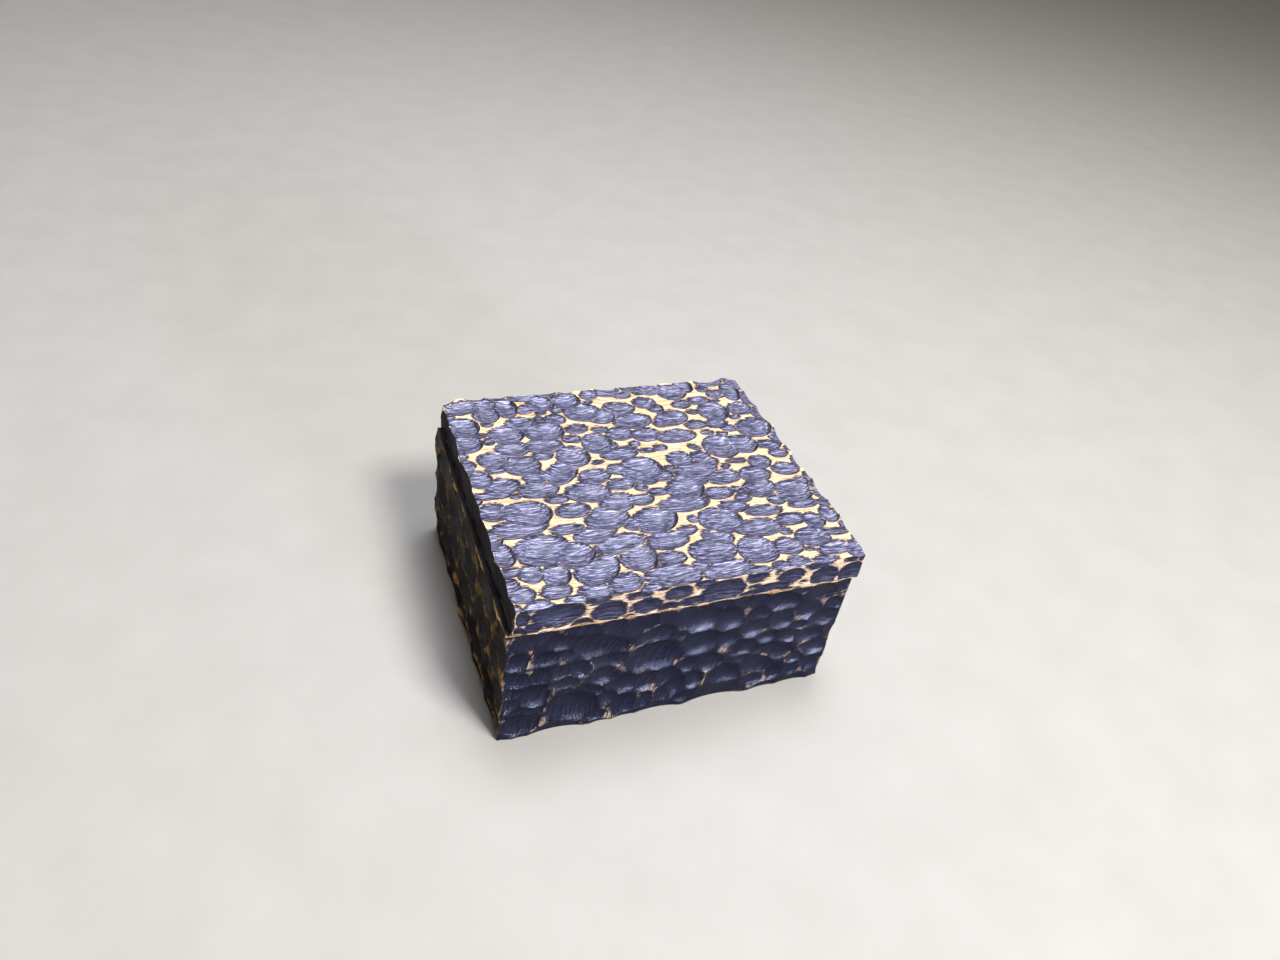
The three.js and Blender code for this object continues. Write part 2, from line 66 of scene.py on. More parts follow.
def settle(piece):
    """Puts an object's place, turn and size into its mesh."""
    pick(piece)
    bpy.ops.object.transform_apply(location=True, rotation=True, scale=True)


def block(name, low, high):
    """A cube between two opposite corners, in millimetres."""
    bpy.ops.object.select_all(action="DESELECT")
    bpy.ops.mesh.primitive_cube_add(
        size=1,
        location=[(a + b) / 2 * mm for a, b in zip(low, high)],
        scale=[(b - a) * mm for a, b in zip(low, high)],
    )
    made = bpy.context.object
    made.name = name
    settle(made)
    return made


def rod(name, radius, length, middle, sides, along="Z"):
    """A cylinder along Z or X, in millimetres."""
    bpy.ops.object.select_all(action="DESELECT")
    bpy.ops.mesh.primitive_cylinder_add(
        vertices=sides,
        radius=radius * mm,
        depth=length * mm,
        location=[value * mm for value in middle],
        rotation=(0, math.pi / 2 if along == "X" else 0, 0),
    )
    made = bpy.context.object
    made.name = name
    settle(made)
    return made


def shape(piece, kind, chosen):
    """Opens a piece in edit mode with only those edges or faces selected that chosen picks."""
    pick(piece)
    bpy.ops.object.mode_set(mode="EDIT")
    bpy.ops.mesh.select_mode(type=kind)
    bpy.ops.mesh.select_all(action="DESELECT")
    bpy.ops.object.mode_set(mode="OBJECT")
    points = [v.co / mm for v in piece.data.vertices]
    for part in piece.data.edges if kind == "EDGE" else piece.data.polygons:
        part.select = chosen([points[i] for i in part.vertices])
    bpy.ops.object.mode_set(mode="EDIT")


def bevel_picked(width, steps):
    """Rounds what is selected in edit mode, and closes the piece again."""
    bpy.ops.mesh.bevel(offset=width * mm, offset_type="OFFSET", segments=steps, affect="EDGES")
    bpy.ops.object.mode_set(mode="OBJECT")


def draw_out(height, share_x, share_y, x=0, y=0):
    """Pulls the faces picked in edit mode up, widens them about x and y, and closes the piece."""
    bpy.ops.mesh.extrude_region_move(TRANSFORM_OT_translate={"value": (0, 0, height * mm)})
    bpy.ops.transform.resize(value=(share_x, share_y, 1), center_override=(x * mm, y * mm, 0))
    bpy.ops.object.mode_set(mode="OBJECT")


def upright(points):
    """Picks the edges that stand up."""
    return abs(points[0].z - points[-1].z) > hair


def level_at(height):
    """Picks the faces that lie flat at one height."""
    return lambda points: all(abs(point.z - height) < hair for point in points)


def cut_away(piece, tools):
    """Takes all the tools away from a piece at once, and clears them up."""
    tray = bpy.data.collections.new("tools")
    for tool in tools:
        for holder in list(tool.users_collection):
            holder.objects.unlink(tool)
        tray.objects.link(tool)
    pick(piece)
    cut = piece.modifiers.new("cut", "BOOLEAN")
    cut.operation = "DIFFERENCE"
    cut.operand_type = "COLLECTION"
    cut.collection = tray
    cut.solver = "MANIFOLD"
    bpy.ops.object.modifier_apply(modifier="cut")
    for tool in tools:
        bpy.data.objects.remove(tool)
    bpy.data.collections.remove(tray)


def make_sequence(seed):
    """A repeatable run of numbers between 0 and 1, the same as the part's own."""
    state = seed
    while True:
        state = (state * 16807) % 2147483647
        yield state / 2147483647


# How far an oval may turn, in degrees
most_turn = 14


def lay_out_cuts(across, up, style, placed, seed):
    """One face's gouge cuts: the placed ones, then smaller and smaller ones where there is room."""
    numbers = make_sequence(seed)

    def between(low, high):
        return low + (high - low) * next(numbers)

    cuts = []
    taken = []

    def add(along, height, half_length, half_width, turn):
        cuts.append((along, height, half_length, half_width, turn))
        taken.append((along, height, math.sqrt(half_length * half_width / style["stretch"])))

    for cut in placed:
        add(*cut)
    for least in style["half_widths"]:
        for _ in range(style["tries"]):
            along = between(-(across + least) / 2, (across + least) / 2)
            height = between(-up / 2 - least / 3, up / 2 + least / 3)
            room = least * style["growth"]
            for other_along, other_height, reach in taken:
                away = (along - other_along) / style["stretch"]
                above = height - other_height
                distance = math.sqrt(away * away + above * above)
                room = min(room, distance - reach * style["closeness"])
                if room < least:
                    break
            if room >= least:
                half_length = room * style["stretch"] * between(0.95, 1.12)
                half_width = room * between(0.95, 1.1)
                add(along, height, half_length, half_width, between(-most_turn, most_turn))
    return cuts


# The bowl that a gouge takes out, as a tool: the cap of a ball, one unit in radius at the rim, that
# goes on rising a little past it. All the gouge cuts are copies of it, stretched and turned.
cap_depth = 0.3
ball_radius = (1 + cap_depth**2) / (2 * cap_depth)
bpy.ops.object.select_all(action="DESELECT")
bpy.ops.mesh.primitive_uv_sphere_add(
    segments=32, ring_count=36, radius=ball_radius, location=(0, 0, ball_radius - cap_depth)
)
gouge_bowl = bpy.context.object
settle(gouge_bowl)
bpy.ops.object.mode_set(mode="EDIT")
bpy.ops.mesh.select_all(action="SELECT")
bpy.ops.mesh.bisect(
    plane_co=(0, 0, cap_depth / 3), plane_no=(0, 0, 1), clear_outer=True, use_fill=True
)
bpy.ops.object.mode_set(mode="OBJECT")

# Each cut is a little wider than the oval marked out for it. The gouge wanders by up to half a
# millimetre, slowly over 7 mm and in smaller jerks over 2 mm, and its slant changes over 5 mm.
spread = 1.13
hand_wobble = ((7, 0.5), (2.2, 0.22))
slant_length = 5
# Without a seed, noise_vector takes one from the clock, and the rims differ from run to run.
noise.seed_set(1)


def gouge_tools(middle, across, up, width, height, style, placed, seed):
    """One tool for each gouge cut of a face, pushed about a little, as a hand-held gouge is."""
    face = Matrix((across, up, Vector(across).cross(Vector(up)))).transposed().to_4x4()
    face.translation = middle
    cuts = lay_out_cuts(width, height, style, placed, seed)
    tools = []
    for along, above, half_length, half_width, turn in cuts:
        mesh = gouge_bowl.data.copy()
        to_edge = min(width / 2 - abs(along), height / 2 - abs(above))
        held_back = style["edge_share"] if to_edge < half_width else 1
        deep = style["depth_share"] * held_back / cap_depth * half_width
        mesh.transform(
            Matrix.Translation((along, above, 0))
            @ Matrix.Rotation(math.radians(turn), 4, "Z")
            @ Matrix.Diagonal((half_length * spread, half_width * spread, deep, 1))
        )
        place = (along / slant_length, above / slant_length, seed * 10 + 5)
        lean = Vector(style["lean"]).to_3d() * (1 + noise.noise(place))
        for point in mesh.vertices:
            spot = Vector((point.co.x, point.co.y, seed * 10))
            push = lean * -point.co.z
            for size, amount in hand_wobble:
                push += noise.noise_vector(spot / size) * amount
            point.co += Vector((push.x, push.y, 0))
        mesh.transform(Matrix.Scale(mm, 4) @ face)
        tool = bpy.data.objects.new("gouge_cut", mesh)
        bpy.context.scene.collection.objects.link(tool)
        tools.append(tool)
    return tools


def side_faces(x, z, height, style, placed, seed):
    """The gouge cuts of a block's four upright faces."""
    faces = [
        ((x, box_y - half_y, z), (1, 0, 0), box_width),
        ((x + half_x, box_y, z), (0, 1, 0), box_depth),
        ((x, box_y + half_y, z), (-1, 0, 0), box_width),
        ((x - half_x, box_y, z), (0, -1, 0), box_depth),
    ]
    tools = []
    for index, (middle, across, width) in enumerate(faces):
        known = placed if index == 0 else []
        tools += gouge_tools(middle, across, (0, 0, 1), width, height, style, known, seed + index)
    return tools


# How a face is cut: its ovals' length for their width, their half widths, how far one may outgrow
# its size, how close two may come, their depth for their half width, what is left of that by an
# edge, how far the floor leans along and up for each millimetre of depth, and the tries for each size
side_cuts = {
    "stretch": 1.3,
    "half_widths": [6.4, 5.5, 4.6, 3.8, 2.9, 2.2],
    "growth": 1.15,
    "closeness": 0.76,
    "depth_share": 0.32,
    "edge_share": 0.6,
    "lean": (0.4, -0.2),
    "tries": 900,
}
# Each cut's place along and up the face, half length, half width and turn in degrees.
placed_on_front = [
    (-51, 20, 5, 4, 0), (-45, 21, 3.3, 2.9, 0), (-39, 18, 5.5, 3.1, 0), (-34.5, 22, 5.5, 2.9, 0),
    (-29, 13.5, 7.5, 5.1, -8), (-52.5, 12.5, 4.8, 3.7, 0), (-44, 11.5, 5.3, 3.1, 0),
    (-37.5, 12, 4, 2.6, 0), (-23.5, 20, 4.2, 4.4, 0), (-15, 19, 5.9, 5.3, 0),
    (-9.5, 13.5, 6.4, 4.1, 0), (-7, 20.5, 3.7, 4, 0), (-1, 20, 4.8, 4.4, 0),
    (-8.5, 3.5, 9.5, 6.9, 0), (-24, 6, 7, 3.6, 0), (-25, -0.5, 4.3, 4, 0),
    (-32.5, 4, 4.4, 3.9, 0), (-52.5, 4, 4.7, 3.3, 0), (-45, 3.5, 4.2, 3.3, 0),
    (-38.5, 4.5, 3.7, 3.1, 0), (-37, -1, 4.3, 3.3, 0), (-46, -4.5, 5.5, 5.1, 0),
    (-53.5, -7, 3.3, 3.2, 0), (-34, -13.5, 8.4, 7.6, 0), (-49.5, -17.5, 7.3, 5.5, 0),
    (-49.5, -11, 3.7, 2, 0), (-17.5, -7, 5.9, 4.3, 0), (-10, -7.5, 5.3, 4.6, 0),
    (-22, -12, 3.3, 3.5, 0), (-15.5, -17.5, 5.3, 5.1, 0), (-9, -17, 3.7, 4.2, 0),
    (-2.5, -7.5, 4.7, 4.7, 0), (-2.5, -16, 4.1, 4.4, 0), (-25.5, -19.5, 4.4, 3.1, 0),
    (4.5, 17, 6.8, 5.5, 0), (14.5, 15, 5.7, 5.1, 0), (17.5, 22, 3.5, 3.5, 0),
    (23, 21, 3.6, 3.9, 0), (25, 15, 5.1, 4, 0), (31.5, 18.5, 6.8, 4.2, -5),
    (45.5, 19.5, 6.4, 4.4, -8), (43, 12.5, 6.2, 4.7, 0), (34.5, 10.5, 5.7, 4.4, 0),
    (24.5, 8.5, 5.9, 4.2, 0), (6, 6, 7.3, 5, 0), (17, 5.5, 4.8, 4.2, 0), (22.5, -0.5, 5.1, 4, 0),
    (10.5, -4.5, 5.3, 4.1, 0), (3, -3.5, 4.1, 3.3, 0), (36, -5.5, 6.6, 4.2, -25),
    (38.5, 1, 4.6, 3.3, 0), (50, 7.5, 5.5, 4.4, 0), (52, 13.5, 4.6, 3.5, 0), (47, 0, 5.7, 4.1, 0),
    (50.5, -6.5, 5.7, 4.2, 0), (51.5, -15, 5.1, 4.1, 0), (18, -12.5, 6.6, 5.3, 0),
    (29.5, -10.5, 6.8, 4.8, -15), (7, -11.5, 3.9, 4.6, 0), (0.5, -13.5, 4.4, 5.1, 0),
    (30.5, -17.5, 5.5, 3.5, 0), (37, -17, 4.2, 3.3, 0), (44.5, -17, 4.2, 3.5, 0),
    (43.5, -10, 3.7, 3.1, -20), (54, 22.5, 3.7, 3.3, 0), (38, 23, 4, 2.9, 0),
    (4.5, -19.5, 4.4, 2.4, 0),
]

body_seed = 101
body = block(
    "carved_body",
    (body_x - half_x, box_y - half_y, 0),
    (body_x + half_x, box_y + half_y, body_height),
)
shape(body, "EDGE", upright)
bevel_picked(corner_radius, steps=5)

# The hollow, as a tool whose top flares out to cut the chamfer round the rim
cavity_x, cavity_y = half_x - wall, half_y - wall
cavity_top = body_height - rim_chamfer
cavity = block(
    "cavity_tool",
    (body_x - cavity_x, box_y - cavity_y, floor_thickness),
    (body_x + cavity_x, box_y + cavity_y, cavity_top),
)
shape(cavity, "EDGE", upright)
bevel_picked(cavity_corner, steps=10)
shape(cavity, "FACE", level_at(floor_thickness))
bevel_picked(cavity_floor_fillet, steps=4)
shape(cavity, "FACE", level_at(cavity_top))
flare = 2 * rim_chamfer
draw_out(flare, 1 + flare / cavity_x, 1 + flare / cavity_y, body_x, box_y)

# The hinges' recesses in the back of the rim, cut the same for the body and the lid
hinge_places = (-31, 31)
hinge_length = 20
leaf_width = 8
leaf_thickness = 1
leaf_fit = 0.15
knuckle_radius = 1.8
knuckle_fit = 0.4
seam_gap = 0.3
seam_top = body_height + seam_gap
pin_stand_off = 0.6
pin_y = box_y + half_y + pin_stand_off
pin_z = body_height + seam_gap / 2
screw_spread = 12
screw_inset = 3.9
screw_y = pin_y - leaf_width + screw_inset
pilot_radius = 1.09
pilot_length = 7.2
pilot_middle = 2.6


def hinge_recesses(side):
    """The recesses below the seam, for side -1, or above it, for side 1."""
    seam = body_height if side < 0 else seam_top
    half = hinge_length / 2 + leaf_fit
    past_back = pin_y + knuckle_radius + 1
    tools = []
    for x in hinge_places:
        for start, end in (
            (pin_y - leaf_width - leaf_fit, seam + side * leaf_thickness),
            (pin_y - knuckle_radius - knuckle_fit, pin_z + side * (knuckle_radius + knuckle_fit)),
        ):
            low, high = sorted((end, seam - side))
            tools.append(block("recess_tool", (x - half, start, low), (x + half, past_back, high)))
        for screw_x in (x - screw_spread / 2, x + screw_spread / 2):
            place = (screw_x, screw_y, seam + side * pilot_middle)
            tools.append(rod("pilot_tool", pilot_radius, pilot_length, place, sides=16))
    return tools


cut_away(
    body,
    [cavity]
    + hinge_recesses(-1)
    + side_faces(body_x, body_height / 2, body_height, side_cuts, placed_on_front, body_seed),
)


def colour(code):
    """An sRGB hex colour as the linear values that a shader takes."""
    parts = [int(code[i : i + 2], 16) / 255 for i in (1, 3, 5)]
    return [p / 12.92 if p <= 0.04045 else ((p + 0.055) / 1.055) ** 2.4 for p in parts] + [1]


def node(tree, kind, inputs=None, stops=None, **settings):
    """Adds a shader node with its settings, and sets or links its inputs. A ramp takes its stops."""
    made = tree.nodes.new("ShaderNode" + kind)
    for name, value in settings.items():
        setattr(made, name, value)
    for key, value in (inputs or {}).items():
        if isinstance(value, bpy.types.Node):
            value = next(output for output in value.outputs if output.enabled)
        if isinstance(value, bpy.types.NodeSocket):
            tree.links.new(value, made.inputs[key])
        else:
            made.inputs[key].default_value = value
    for index, (place, code) in enumerate(stops or []):
        ramp = made.color_ramp.elements
        stop = ramp[index] if index < 2 else ramp.new(place)
        stop.position = place
        stop.color = colour(code)
    return made


def new_material(name):
    """A new material, with its node tree and its shader."""
    made = bpy.data.materials.new(name)
    made.use_nodes = True
    return made, made.node_tree, made.node_tree.nodes["Principled BSDF"]


# The colour sockets of a Mix node, and the settings that a Mix node always has here and a MapRange
# node mostly has. A MapRange node takes its value at 0, the range it comes from at 1 and 2, and the
# new one at 3 and 4.
mix_a, mix_b = 6, 7
of_colours = {"data_type": "RGBA"}
smooth_step = {"interpolation_type": "SMOOTHSTEP"}


def growth(tree, along_y, pith):
    """Where a point lies in the tree: millimetres with X along the grain, measured from the pith."""
    place = node(tree, "TexCoord").outputs["Object"]
    place = node(tree, "VectorMath", {0: place, "Scale": 1 / mm}, operation="SCALE")
    moved = node(tree, "VectorMath", {0: place, 1: pith}, operation="SUBTRACT")
    turn = (0, 0, math.pi / 2 if along_y else 0)
    grain = node(tree, "Mapping", {"Vector": moved, "Rotation": turn})
    return place, grain


# Real fibres, about 0.03 mm across, are too fine to show, so they are drawn about 0.4 mm across and
# eight times as long. The growth rings sway by a few millimetres over 50 mm.
fibres_per_mm = 2.4
fibre_slimness = 0.12
ring_sway = 9
sways_per_mm = 0.02


def figure(tree, grain, ring_width):
    """The wood's figure: growth rings about the pith, and fibres that run along the grain."""
    sway = node(tree, "TexNoise", {"Vector": grain, "Scale": sways_per_mm, "Detail": 2})
    flat = node(tree, "VectorMath", {0: grain, 1: (0, 1, 1)}, operation="MULTIPLY")
    away = node(tree, "VectorMath", {0: flat}, operation="LENGTH").outputs["Value"]
    swayed = node(tree, "Math", {0: sway, 1: ring_sway, 2: away}, operation="MULTIPLY_ADD")
    rings = node(
        tree,
        "TexNoise",
        {"W": swayed, "Scale": 1 / ring_width, "Detail": 2, "Roughness": 0.6},
        noise_dimensions="1D",
    )
    long = node(tree, "VectorMath", {0: grain, 1: (fibre_slimness, 1, 1)}, operation="MULTIPLY")
    fibres = node(
        tree, "TexNoise", {"Vector": long, "Scale": fibres_per_mm, "Detail": 3, "Roughness": 0.65}
    )
    return rings, fibres


def cut_depth(tree, place, middle, half_size):
    """How far a point lies in from the block's own outside, in millimetres."""
    square = (half_size[0] - corner_radius, half_size[1] - corner_radius, half_size[2])
    around = node(tree, "VectorMath", {0: place, 1: middle}, operation="SUBTRACT")
    around = node(tree, "VectorMath", {0: around}, operation="ABSOLUTE")
    past = node(tree, "VectorMath", {0: around, 1: square}, operation="SUBTRACT")
    parts = node(tree, "SeparateXYZ", {0: past})
    plan = node(tree, "VectorMath", {0: past, 1: (1, 1, 0)}, operation="MULTIPLY")
    out = node(tree, "VectorMath", {0: plan, 1: (0, 0, 0)}, operation="MAXIMUM")
    out = node(tree, "VectorMath", {0: out}, operation="LENGTH").outputs["Value"]
    inner = node(tree, "Math", {0: parts.outputs[0], 1: parts.outputs[1]}, operation="MAXIMUM")
    inner = node(tree, "Math", {0: inner, 1: 0}, operation="MINIMUM")
    both = node(tree, "Math", {0: out, 1: inner}, operation="ADD")
    sides = node(tree, "Math", {0: corner_radius, 1: both}, operation="SUBTRACT")
    top = node(tree, "Math", {0: parts.outputs[2], 1: -1}, operation="MULTIPLY")
    return node(tree, "Math", {0: sides, 1: top}, operation="MINIMUM")


# How far the stain soaks in, a little further than the deepest cut
stain_depth = 3


def gouged_pine(name, along_y, pith, middle, half_size, look):
    """Pine that was gouged, scorched, stained and sanded: pale ridges with the grain showing, black
    just below a rim and on the steeper side of a cut, where stain pools and torn fibres take it up and
    painted shade darkens them further, upright lid edges blackened as painted shade, and a satin
    violet-black bowl in which the fibres stand a little proud, on the lid with pale streaks of painted
    sheen. The stain stops a few millimetres in."""
    made, tree, shader = new_material(name)
    place, grain = growth(tree, along_y, pith)
    rings, fibres = figure(tree, grain, look["ring_width"])
    depth = cut_depth(tree, place, middle, half_size)

    # How square a spot is to the block's own faces: 1 on the flat, less on the side of a cut. The
    # steeper sides of the cuts in side grain are torn and take the stain up, and are darkened more as
    # painted shade.
    facing = node(tree, "TexCoord").outputs["Normal"]
    square = node(tree, "VectorMath", {0: facing}, operation="ABSOLUTE")
    square = node(tree, "SeparateXYZ", {0: square})
    end_grain = node(
        tree, "MapRange", {0: square.outputs[1 if along_y else 0], 1: 0.45, 2: 0.8}, **smooth_step
    )
    flat = node(tree, "Math", {0: square.outputs[0], 1: square.outputs[1]}, operation="MAXIMUM")
    flat = node(tree, "Math", {0: flat, 1: square.outputs[2]}, operation="MAXIMUM")
    torn = node(tree, "Math", {0: fibres, 1: 0.22, 2: flat}, operation="MULTIPLY_ADD")
    steep_stain_and_shade = node(tree, "MapRange", {0: torn, 1: 1.05, 2: 0.96, 3: 0, 4: 0.94}, **smooth_step)
    side_grain = node(tree, "Math", {0: 1, 1: end_grain}, operation="SUBTRACT")
    steep_stain_and_shade = node(tree, "Math", {0: steep_stain_and_shade, 1: side_grain}, operation="MULTIPLY")

    # Bare wood: the block's own face, up to a ragged edge, wherever the sanding reached
    ragged = node(tree, "Math", {0: fibres, 1: 1.25, 2: -0.61}, operation="MULTIPLY_ADD")
    uneven = node(tree, "Math", {0: depth, 1: ragged}, operation="ADD")
    patches = node(tree, "TexNoise", {"Vector": place, "Scale": 0.16, "Detail": 3})
    patches = node(tree, "Math", {0: end_grain, 1: -0.2, 2: patches}, operation="MULTIPLY_ADD")
    patchiness = look["patchiness"]
    reached = node(tree, "Math", {0: end_grain, 1: 0.14, 2: uneven}, operation="MULTIPLY_ADD")
    reached = node(tree, "Math", {0: patches, 1: -patchiness, 2: reached}, operation="MULTIPLY_ADD")
    least = look["sanded_depth"] / 3 - patchiness / 2
    most = look["sanded_depth"] - patchiness / 2
    bare = node(tree, "MapRange", {0: reached, 1: least, 2: most, 3: 1, 4: 0}, **smooth_step)

    # Bare wood on the ridges between two cuts, in short strokes
    crest = node(tree, "Attribute", attribute_name="crest").outputs["Fac"]
    crest = node(tree, "Math", {0: ragged, 1: 0.7, 2: crest}, operation="MULTIPLY_ADD")
    strips = node(tree, "VectorMath", {0: grain, 1: (0.4, 1, 1)}, operation="MULTIPLY")
    broad = node(tree, "TexNoise", {"Vector": strips, "Scale": 0.32, "Detail": 2})
    crest = node(tree, "Math", {0: broad, 1: 2.2, 2: crest}, operation="MULTIPLY_ADD")
    crest = node(
        tree, "Math", {0: side_grain, 1: look["side_rubbing"], 2: crest}, operation="MULTIPLY_ADD"
    )
    crest = node(tree, "MapRange", {0: crest, 1: 1.7, 2: 2}, **smooth_step)
    rubbed = node(
        tree,
        "MapRange",
        {0: patches, 1: 0.32, 2: 0.46, 3: 0, 4: look["crest_share"]},
        **smooth_step,
    )
    crest = node(tree, "Math", {0: crest, 1: rubbed}, operation="MULTIPLY")
    shallow = node(tree, "MapRange", {0: depth, 1: 0.5, 2: 1.3, 3: 1, 4: 0}, **smooth_step)
    crest = node(tree, "Math", {0: crest, 1: shallow}, operation="MULTIPLY")
    bare = node(tree, "Math", {0: bare, 1: crest}, operation="MAXIMUM")

    # On end grain the dark growth lines break the bare wood up into short strokes.
    late_wood = node(tree, "MapRange", {0: rings, 1: 0.46, 2: 0.56}, **smooth_step)
    strokes = node(tree, "Math", {0: late_wood, 1: end_grain}, operation="MULTIPLY")
    strokes = node(tree, "Math", {0: 1, 1: strokes}, operation="SUBTRACT")
    bare = node(tree, "Math", {0: bare, 1: strokes}, operation="MULTIPLY")

    # The stained bowls: fibres show along the grain, on the lid as pale violet streaks that are a
    # painted sheen on the dark stain, and growth lines across it. The colour is blackest just below a
    # rim, where stain pools and painted shade is added, and, on the lid, on the upright edges, where
    # the darkening is painted shade.
    stain, end_stain = look["stain"], look["end_stain"]
    along = node(
        tree, "ValToRGB", {0: fibres}, [(0.38, stain[0]), (0.5, stain[1]), (0.62, stain[2])]
    )
    lines = node(tree, "Math", {0: late_wood, 1: 0.65}, operation="MULTIPLY")
    along = node(tree, "Mix", {0: lines, mix_a: along, mix_b: colour(stain[0])}, **of_colours)
    across = node(
        tree,
        "ValToRGB",
        {0: rings},
        [(0.38, end_stain[2]), (0.5, end_stain[1]), (0.6, end_stain[0])],
    )
    bowls = node(tree, "Mix", {0: end_grain, mix_a: along, mix_b: across}, **of_colours)
    # A dark band just inside each cut's rim: partly stain pooling there, partly painted shade of the
    # tilted rim, which mirrors less light.
    rim_pool_and_shade = node(tree, "MapRange", {0: uneven, 1: 0.25, 2: 0.75, 3: 0.95, 4: 0}, **smooth_step)
    soaked_in = node(tree, "Math", {0: end_grain, 1: -0.6, 2: 1}, operation="MULTIPLY_ADD")
    rim_pool_and_shade = node(tree, "Math", {0: rim_pool_and_shade, 1: soaked_in}, operation="MULTIPLY")
    dark = node(tree, "Math", {0: rim_pool_and_shade, 1: steep_stain_and_shade}, operation="MAXIMUM")
    # Upright faces are darkened as painted shade, by the amount that the look gives; only the lid
    # takes it.
    upright_shade = node(
        tree,
        "MapRange",
        {0: square.outputs[2], 1: 0.4, 2: 0.8, 3: look["painted_edge_shade"], 4: 0},
        **smooth_step,
    )
    dark = node(tree, "Math", {0: dark, 1: upright_shade}, operation="MAXIMUM")
    bowls = node(
        tree, "Mix", {0: dark, mix_a: bowls, mix_b: colour(look["black_stain_and_shade"])}, **of_colours
    )

    # The bare wood's own colours, honey with darker growth lines, and greyer on end grain
    ridge = look["ridge"]
    sanded = node(
        tree, "ValToRGB", {0: fibres}, [(0.34, ridge[0]), (0.5, ridge[1]), (0.64, ridge[2])]
    )
    lines = node(tree, "Math", {0: late_wood, 1: 0.5}, operation="MULTIPLY")
    line_colour, end_colour = colour(look["ridge_line"]), colour(look["end_ridge"])
    sanded = node(tree, "Mix", {0: lines, mix_a: sanded, mix_b: line_colour}, **of_colours)
    sanded_end = node(tree, "Math", {0: end_grain, 1: 0.75}, operation="MULTIPLY")
    sanded = node(tree, "Mix", {0: sanded_end, mix_a: sanded, mix_b: end_colour}, **of_colours)
    unstained = node(
        tree, "MapRange", {0: uneven, 1: stain_depth - 0.3, 2: stain_depth + 0.3}, **smooth_step
    )
    dry = node(tree, "Math", {0: bare, 1: unstained}, operation="MAXIMUM")
    whole = node(tree, "Mix", {0: dry, mix_a: bowls, mix_b: sanded}, **of_colours)
    tree.links.new(whole.outputs[2], shader.inputs["Base Color"])

    # Bare places and the blackened rims are matt. The stained bowls are waxed, in some places more
    # than in others.
    matt = node(tree, "Math", {0: dry, 1: rim_pool_and_shade}, operation="MAXIMUM")
    gloss = node(tree, "MapRange", {0: fibres, 1: 0.35, 2: 0.65, 3: 0.5, 4: 0.3})
    gloss = node(tree, "MapRange", {0: matt, 1: 0, 2: 1, 3: gloss, 4: 0.75})
    tree.links.new(gloss.outputs[0], shader.inputs["Roughness"])
    wax = node(tree, "MapRange", {0: matt, 1: 0.1, 2: 0.8, 3: 1, 4: 0.03}, **smooth_step)
    handled = node(tree, "TexNoise", {"Vector": place, "Scale": 0.1, "Detail": 1})
    polished = node(tree, "MapRange", {0: handled, 1: 0.4, 2: 0.6, 3: 0.45, 4: 1})
    wax = node(tree, "Math", {0: wax, 1: polished}, operation="MULTIPLY")
    tree.links.new(wax.outputs[0], shader.inputs["Coat Weight"])
    shader.inputs["Coat Roughness"].default_value = look["wax_roughness"]
    shader.inputs["Specular Tint"].default_value = colour(look["lustre"])
    shader.inputs["Specular IOR Level"].default_value = look["gloss"]
    shader.inputs["IOR"].default_value = 1.5

    # Rings and fibres stand a little proud, and the film of wax evens them out.
    relief = node(tree, "Math", {0: rings, 1: 0.6, 2: fibres}, operation="MULTIPLY_ADD")
    for socket, height in (("Normal", look["relief"]), ("Coat Normal", look["film_relief"])):
        bump = node(tree, "Bump", {"Height": relief, "Strength": 1, "Distance": height * mm})
        tree.links.new(bump.outputs[0], shader.inputs[socket])
    return made


def sanded_pine(name, along_y, pith):
    """Bare pine, planed and sanded, for the inside: honey-coloured, with darker growth lines."""
    made, tree, shader = new_material(name)
    grain = growth(tree, along_y, pith)[1]
    rings, fibres = figure(tree, grain, ring_width=1.3)
    tone = node(
        tree, "ValToRGB", {0: fibres}, [(0.3, "#a87d49"), (0.5, "#b98e5a"), (0.72, "#c8a06c")]
    )
    lines = node(tree, "MapRange", {0: rings, 1: 0.5, 2: 0.68, 3: 0, 4: 0.42}, **smooth_step)
    tone = node(tree, "Mix", {0: lines, mix_a: tone, mix_b: colour("#97673a")}, **of_colours)
    tree.links.new(tone.outputs[2], shader.inputs["Base Color"])
    bump = node(tree, "Bump", {"Height": fibres, "Strength": 0.35, "Distance": 0.1 * mm})
    tree.links.new(bump.outputs[0], shader.inputs["Normal"])
    shader.inputs["Roughness"].default_value = 0.6
    return made


# A ridge that turns by this much is marked in full. The mark spreads, fainter, to points less than
# 1.6 mm away, and what is marked by more than 0.7 is sanded down.
sharp_turn = math.radians(24)
crest_reach = 1.6
crest_fade = 0.65
clear_crest = 0.7


def mark_crests(piece):
    """Stores at each point how sharp a ridge it lies on: 0 in a bowl, 1 on a clear ridge."""
    mesh = piece.data
    first_face = {}
    crests = [0.0] * len(mesh.vertices)
    normals = [face.normal.copy() for face in mesh.polygons]
    centres = [face.center.copy() for face in mesh.polygons]
    for face in mesh.polygons:
        for key in face.edge_keys:
            if key not in first_face:
                first_face[key] = face.index
                continue
            other = first_face[key]
            on_edge = mesh.vertices[key[0]].co
            bulges = normals[other].dot(centres[face.index] - on_edge) < 0
            if bulges:
                turn = normals[face.index].angle(normals[other], 0)
                for index in key:
                    crests[index] = max(crests[index], min(turn / sharp_turn, 1))
    # The mark fades out over the next two rounds of points, which gives the bare strip its width.
    for _ in range(2):
        wider = list(crests)
        for edge in mesh.edges:
            start, stop = edge.vertices
            if (mesh.vertices[start].co - mesh.vertices[stop].co).length < crest_reach * mm:
                wider[start] = max(wider[start], crest_fade * crests[stop])
                wider[stop] = max(wider[stop], crest_fade * crests[start])
        crests = wider
    stored = mesh.attributes.new("crest", "FLOAT", "POINT")
    stored.data.foreach_set("value", crests)
    return crests


